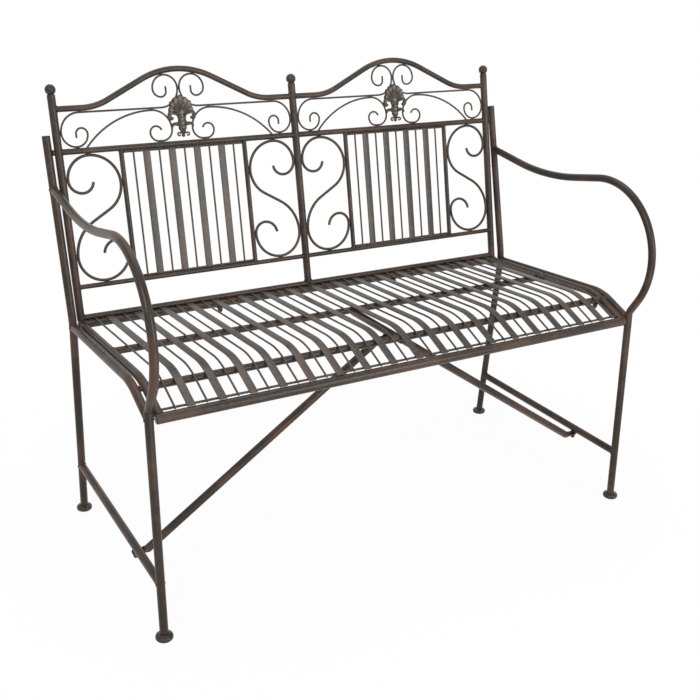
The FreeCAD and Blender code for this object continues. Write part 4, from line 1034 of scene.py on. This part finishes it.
def whenSeen(pen):
    path = lambda out: pen.node("ShaderNodeLightPath", out=out)
    return pen.node("ShaderNodeClamp", None, {"Value": path("Is Camera Ray") + path("Is Glossy Ray")
                                              + path("Is Transmission Ray")})


def floorPaint():
    material = bpy.data.materials.new("paleFloor")
    pen = freshPen(material)
    place = pen.node("ShaderNodeTexCoord", out="Object")
    speck = pen.node("ShaderNodeTexNoise", None,
                     {"Vector": place, "Scale": stage["speckScale"], "Detail": 2.0})
    matt = pen.node("ShaderNodeBsdfDiffuse", None, {"Color": pen.tint(*stage["floorTones"], speck)})
    glow = pen.node("ShaderNodeEmission", None, {"Color": stage["white"], "Strength": 1.0})
    away = pen.node("ShaderNodeVectorMath", {"operation": "LENGTH"}, {0: place}, out="Value")
    shade = (1.0 - away.between(*stage["shadowReach"])) * stage["shadowShare"]   # shows near the bench
    surface = pen.node("ShaderNodeMixShader", None, {0: whenSeen(pen) * (1.0 - shade), 1: matt, 2: glow})
    pen.node("ShaderNodeOutputMaterial", None, {"Surface": surface})
    return material


reach = stage["floorReach"]
floorMesh = bpy.data.meshes.new("floor")
floorMesh.from_pydata([(-reach, -reach, 0), (reach, -reach, 0), (reach, reach, 0), (-reach, reach, 0)], [],
                      [(0, 1, 2, 3)])
floorMesh.materials.append(floorPaint())
floor = bpy.data.objects.new("floor", floorMesh)
bpy.context.scene.collection.objects.link(floor)

room = bpy.data.worlds.new("whiteRoom")
pen = freshPen(room)
lit, seen = (pen.node("ShaderNodeBackground", None, {"Color": stage["white"], "Strength": strength})
             for strength in (stage["roomLight"], 1.0))
mixed = pen.node("ShaderNodeMixShader", None, {0: whenSeen(pen), 1: lit, 2: seen})
pen.node("ShaderNodeOutputWorld", None, {"Surface": mixed})
bpy.context.scene.world = room

middle = (0.0, 0.0, 0.45)
lamps = {                                         # place, aim, size in metres, power in watts
    "key": ((-2.2, -2.2, 2.9), middle, 1.4, 53.0), "front": ((1.3, -3.3, 1.3), middle, 1.6, 51.0),
    "top": ((0.1, 0.7, 3.4), middle, 2.0, 24.0),
    "ground": ((-0.1, -1.75, 0.03), (-0.1, -1.7, 1.0), 1.2, 11.0)}
for name, (place, aim, size, power) in lamps.items():
    light = bpy.data.lights.new(name, "AREA")
    light.size, light.energy = size, power
    lamp = bpy.data.objects.new(name, light)
    lamp.location = place
    lamp.rotation_euler = (Vector(aim) - lamp.location).to_track_quat("-Z", "Y").to_euler()
    bpy.context.scene.collection.objects.link(lamp)

view = {"place": (-1.0087, -1.70405, 1.1703), "turn": (67.8223, -1.3844, -29.9064), "lens": 51.3565,
        "sensor": 36.0}
lens = bpy.data.cameras.new("photoView")
lens.lens, lens.sensor_width = view["lens"], view["sensor"]
camera = bpy.data.objects.new("photoView", lens)
camera.location = view["place"]
camera.rotation_euler = [math.radians(turn) for turn in view["turn"]]
bpy.context.scene.collection.objects.link(camera)
bpy.context.scene.camera = camera
bpy.context.scene.view_settings.view_transform = "Standard"
print("stage set")
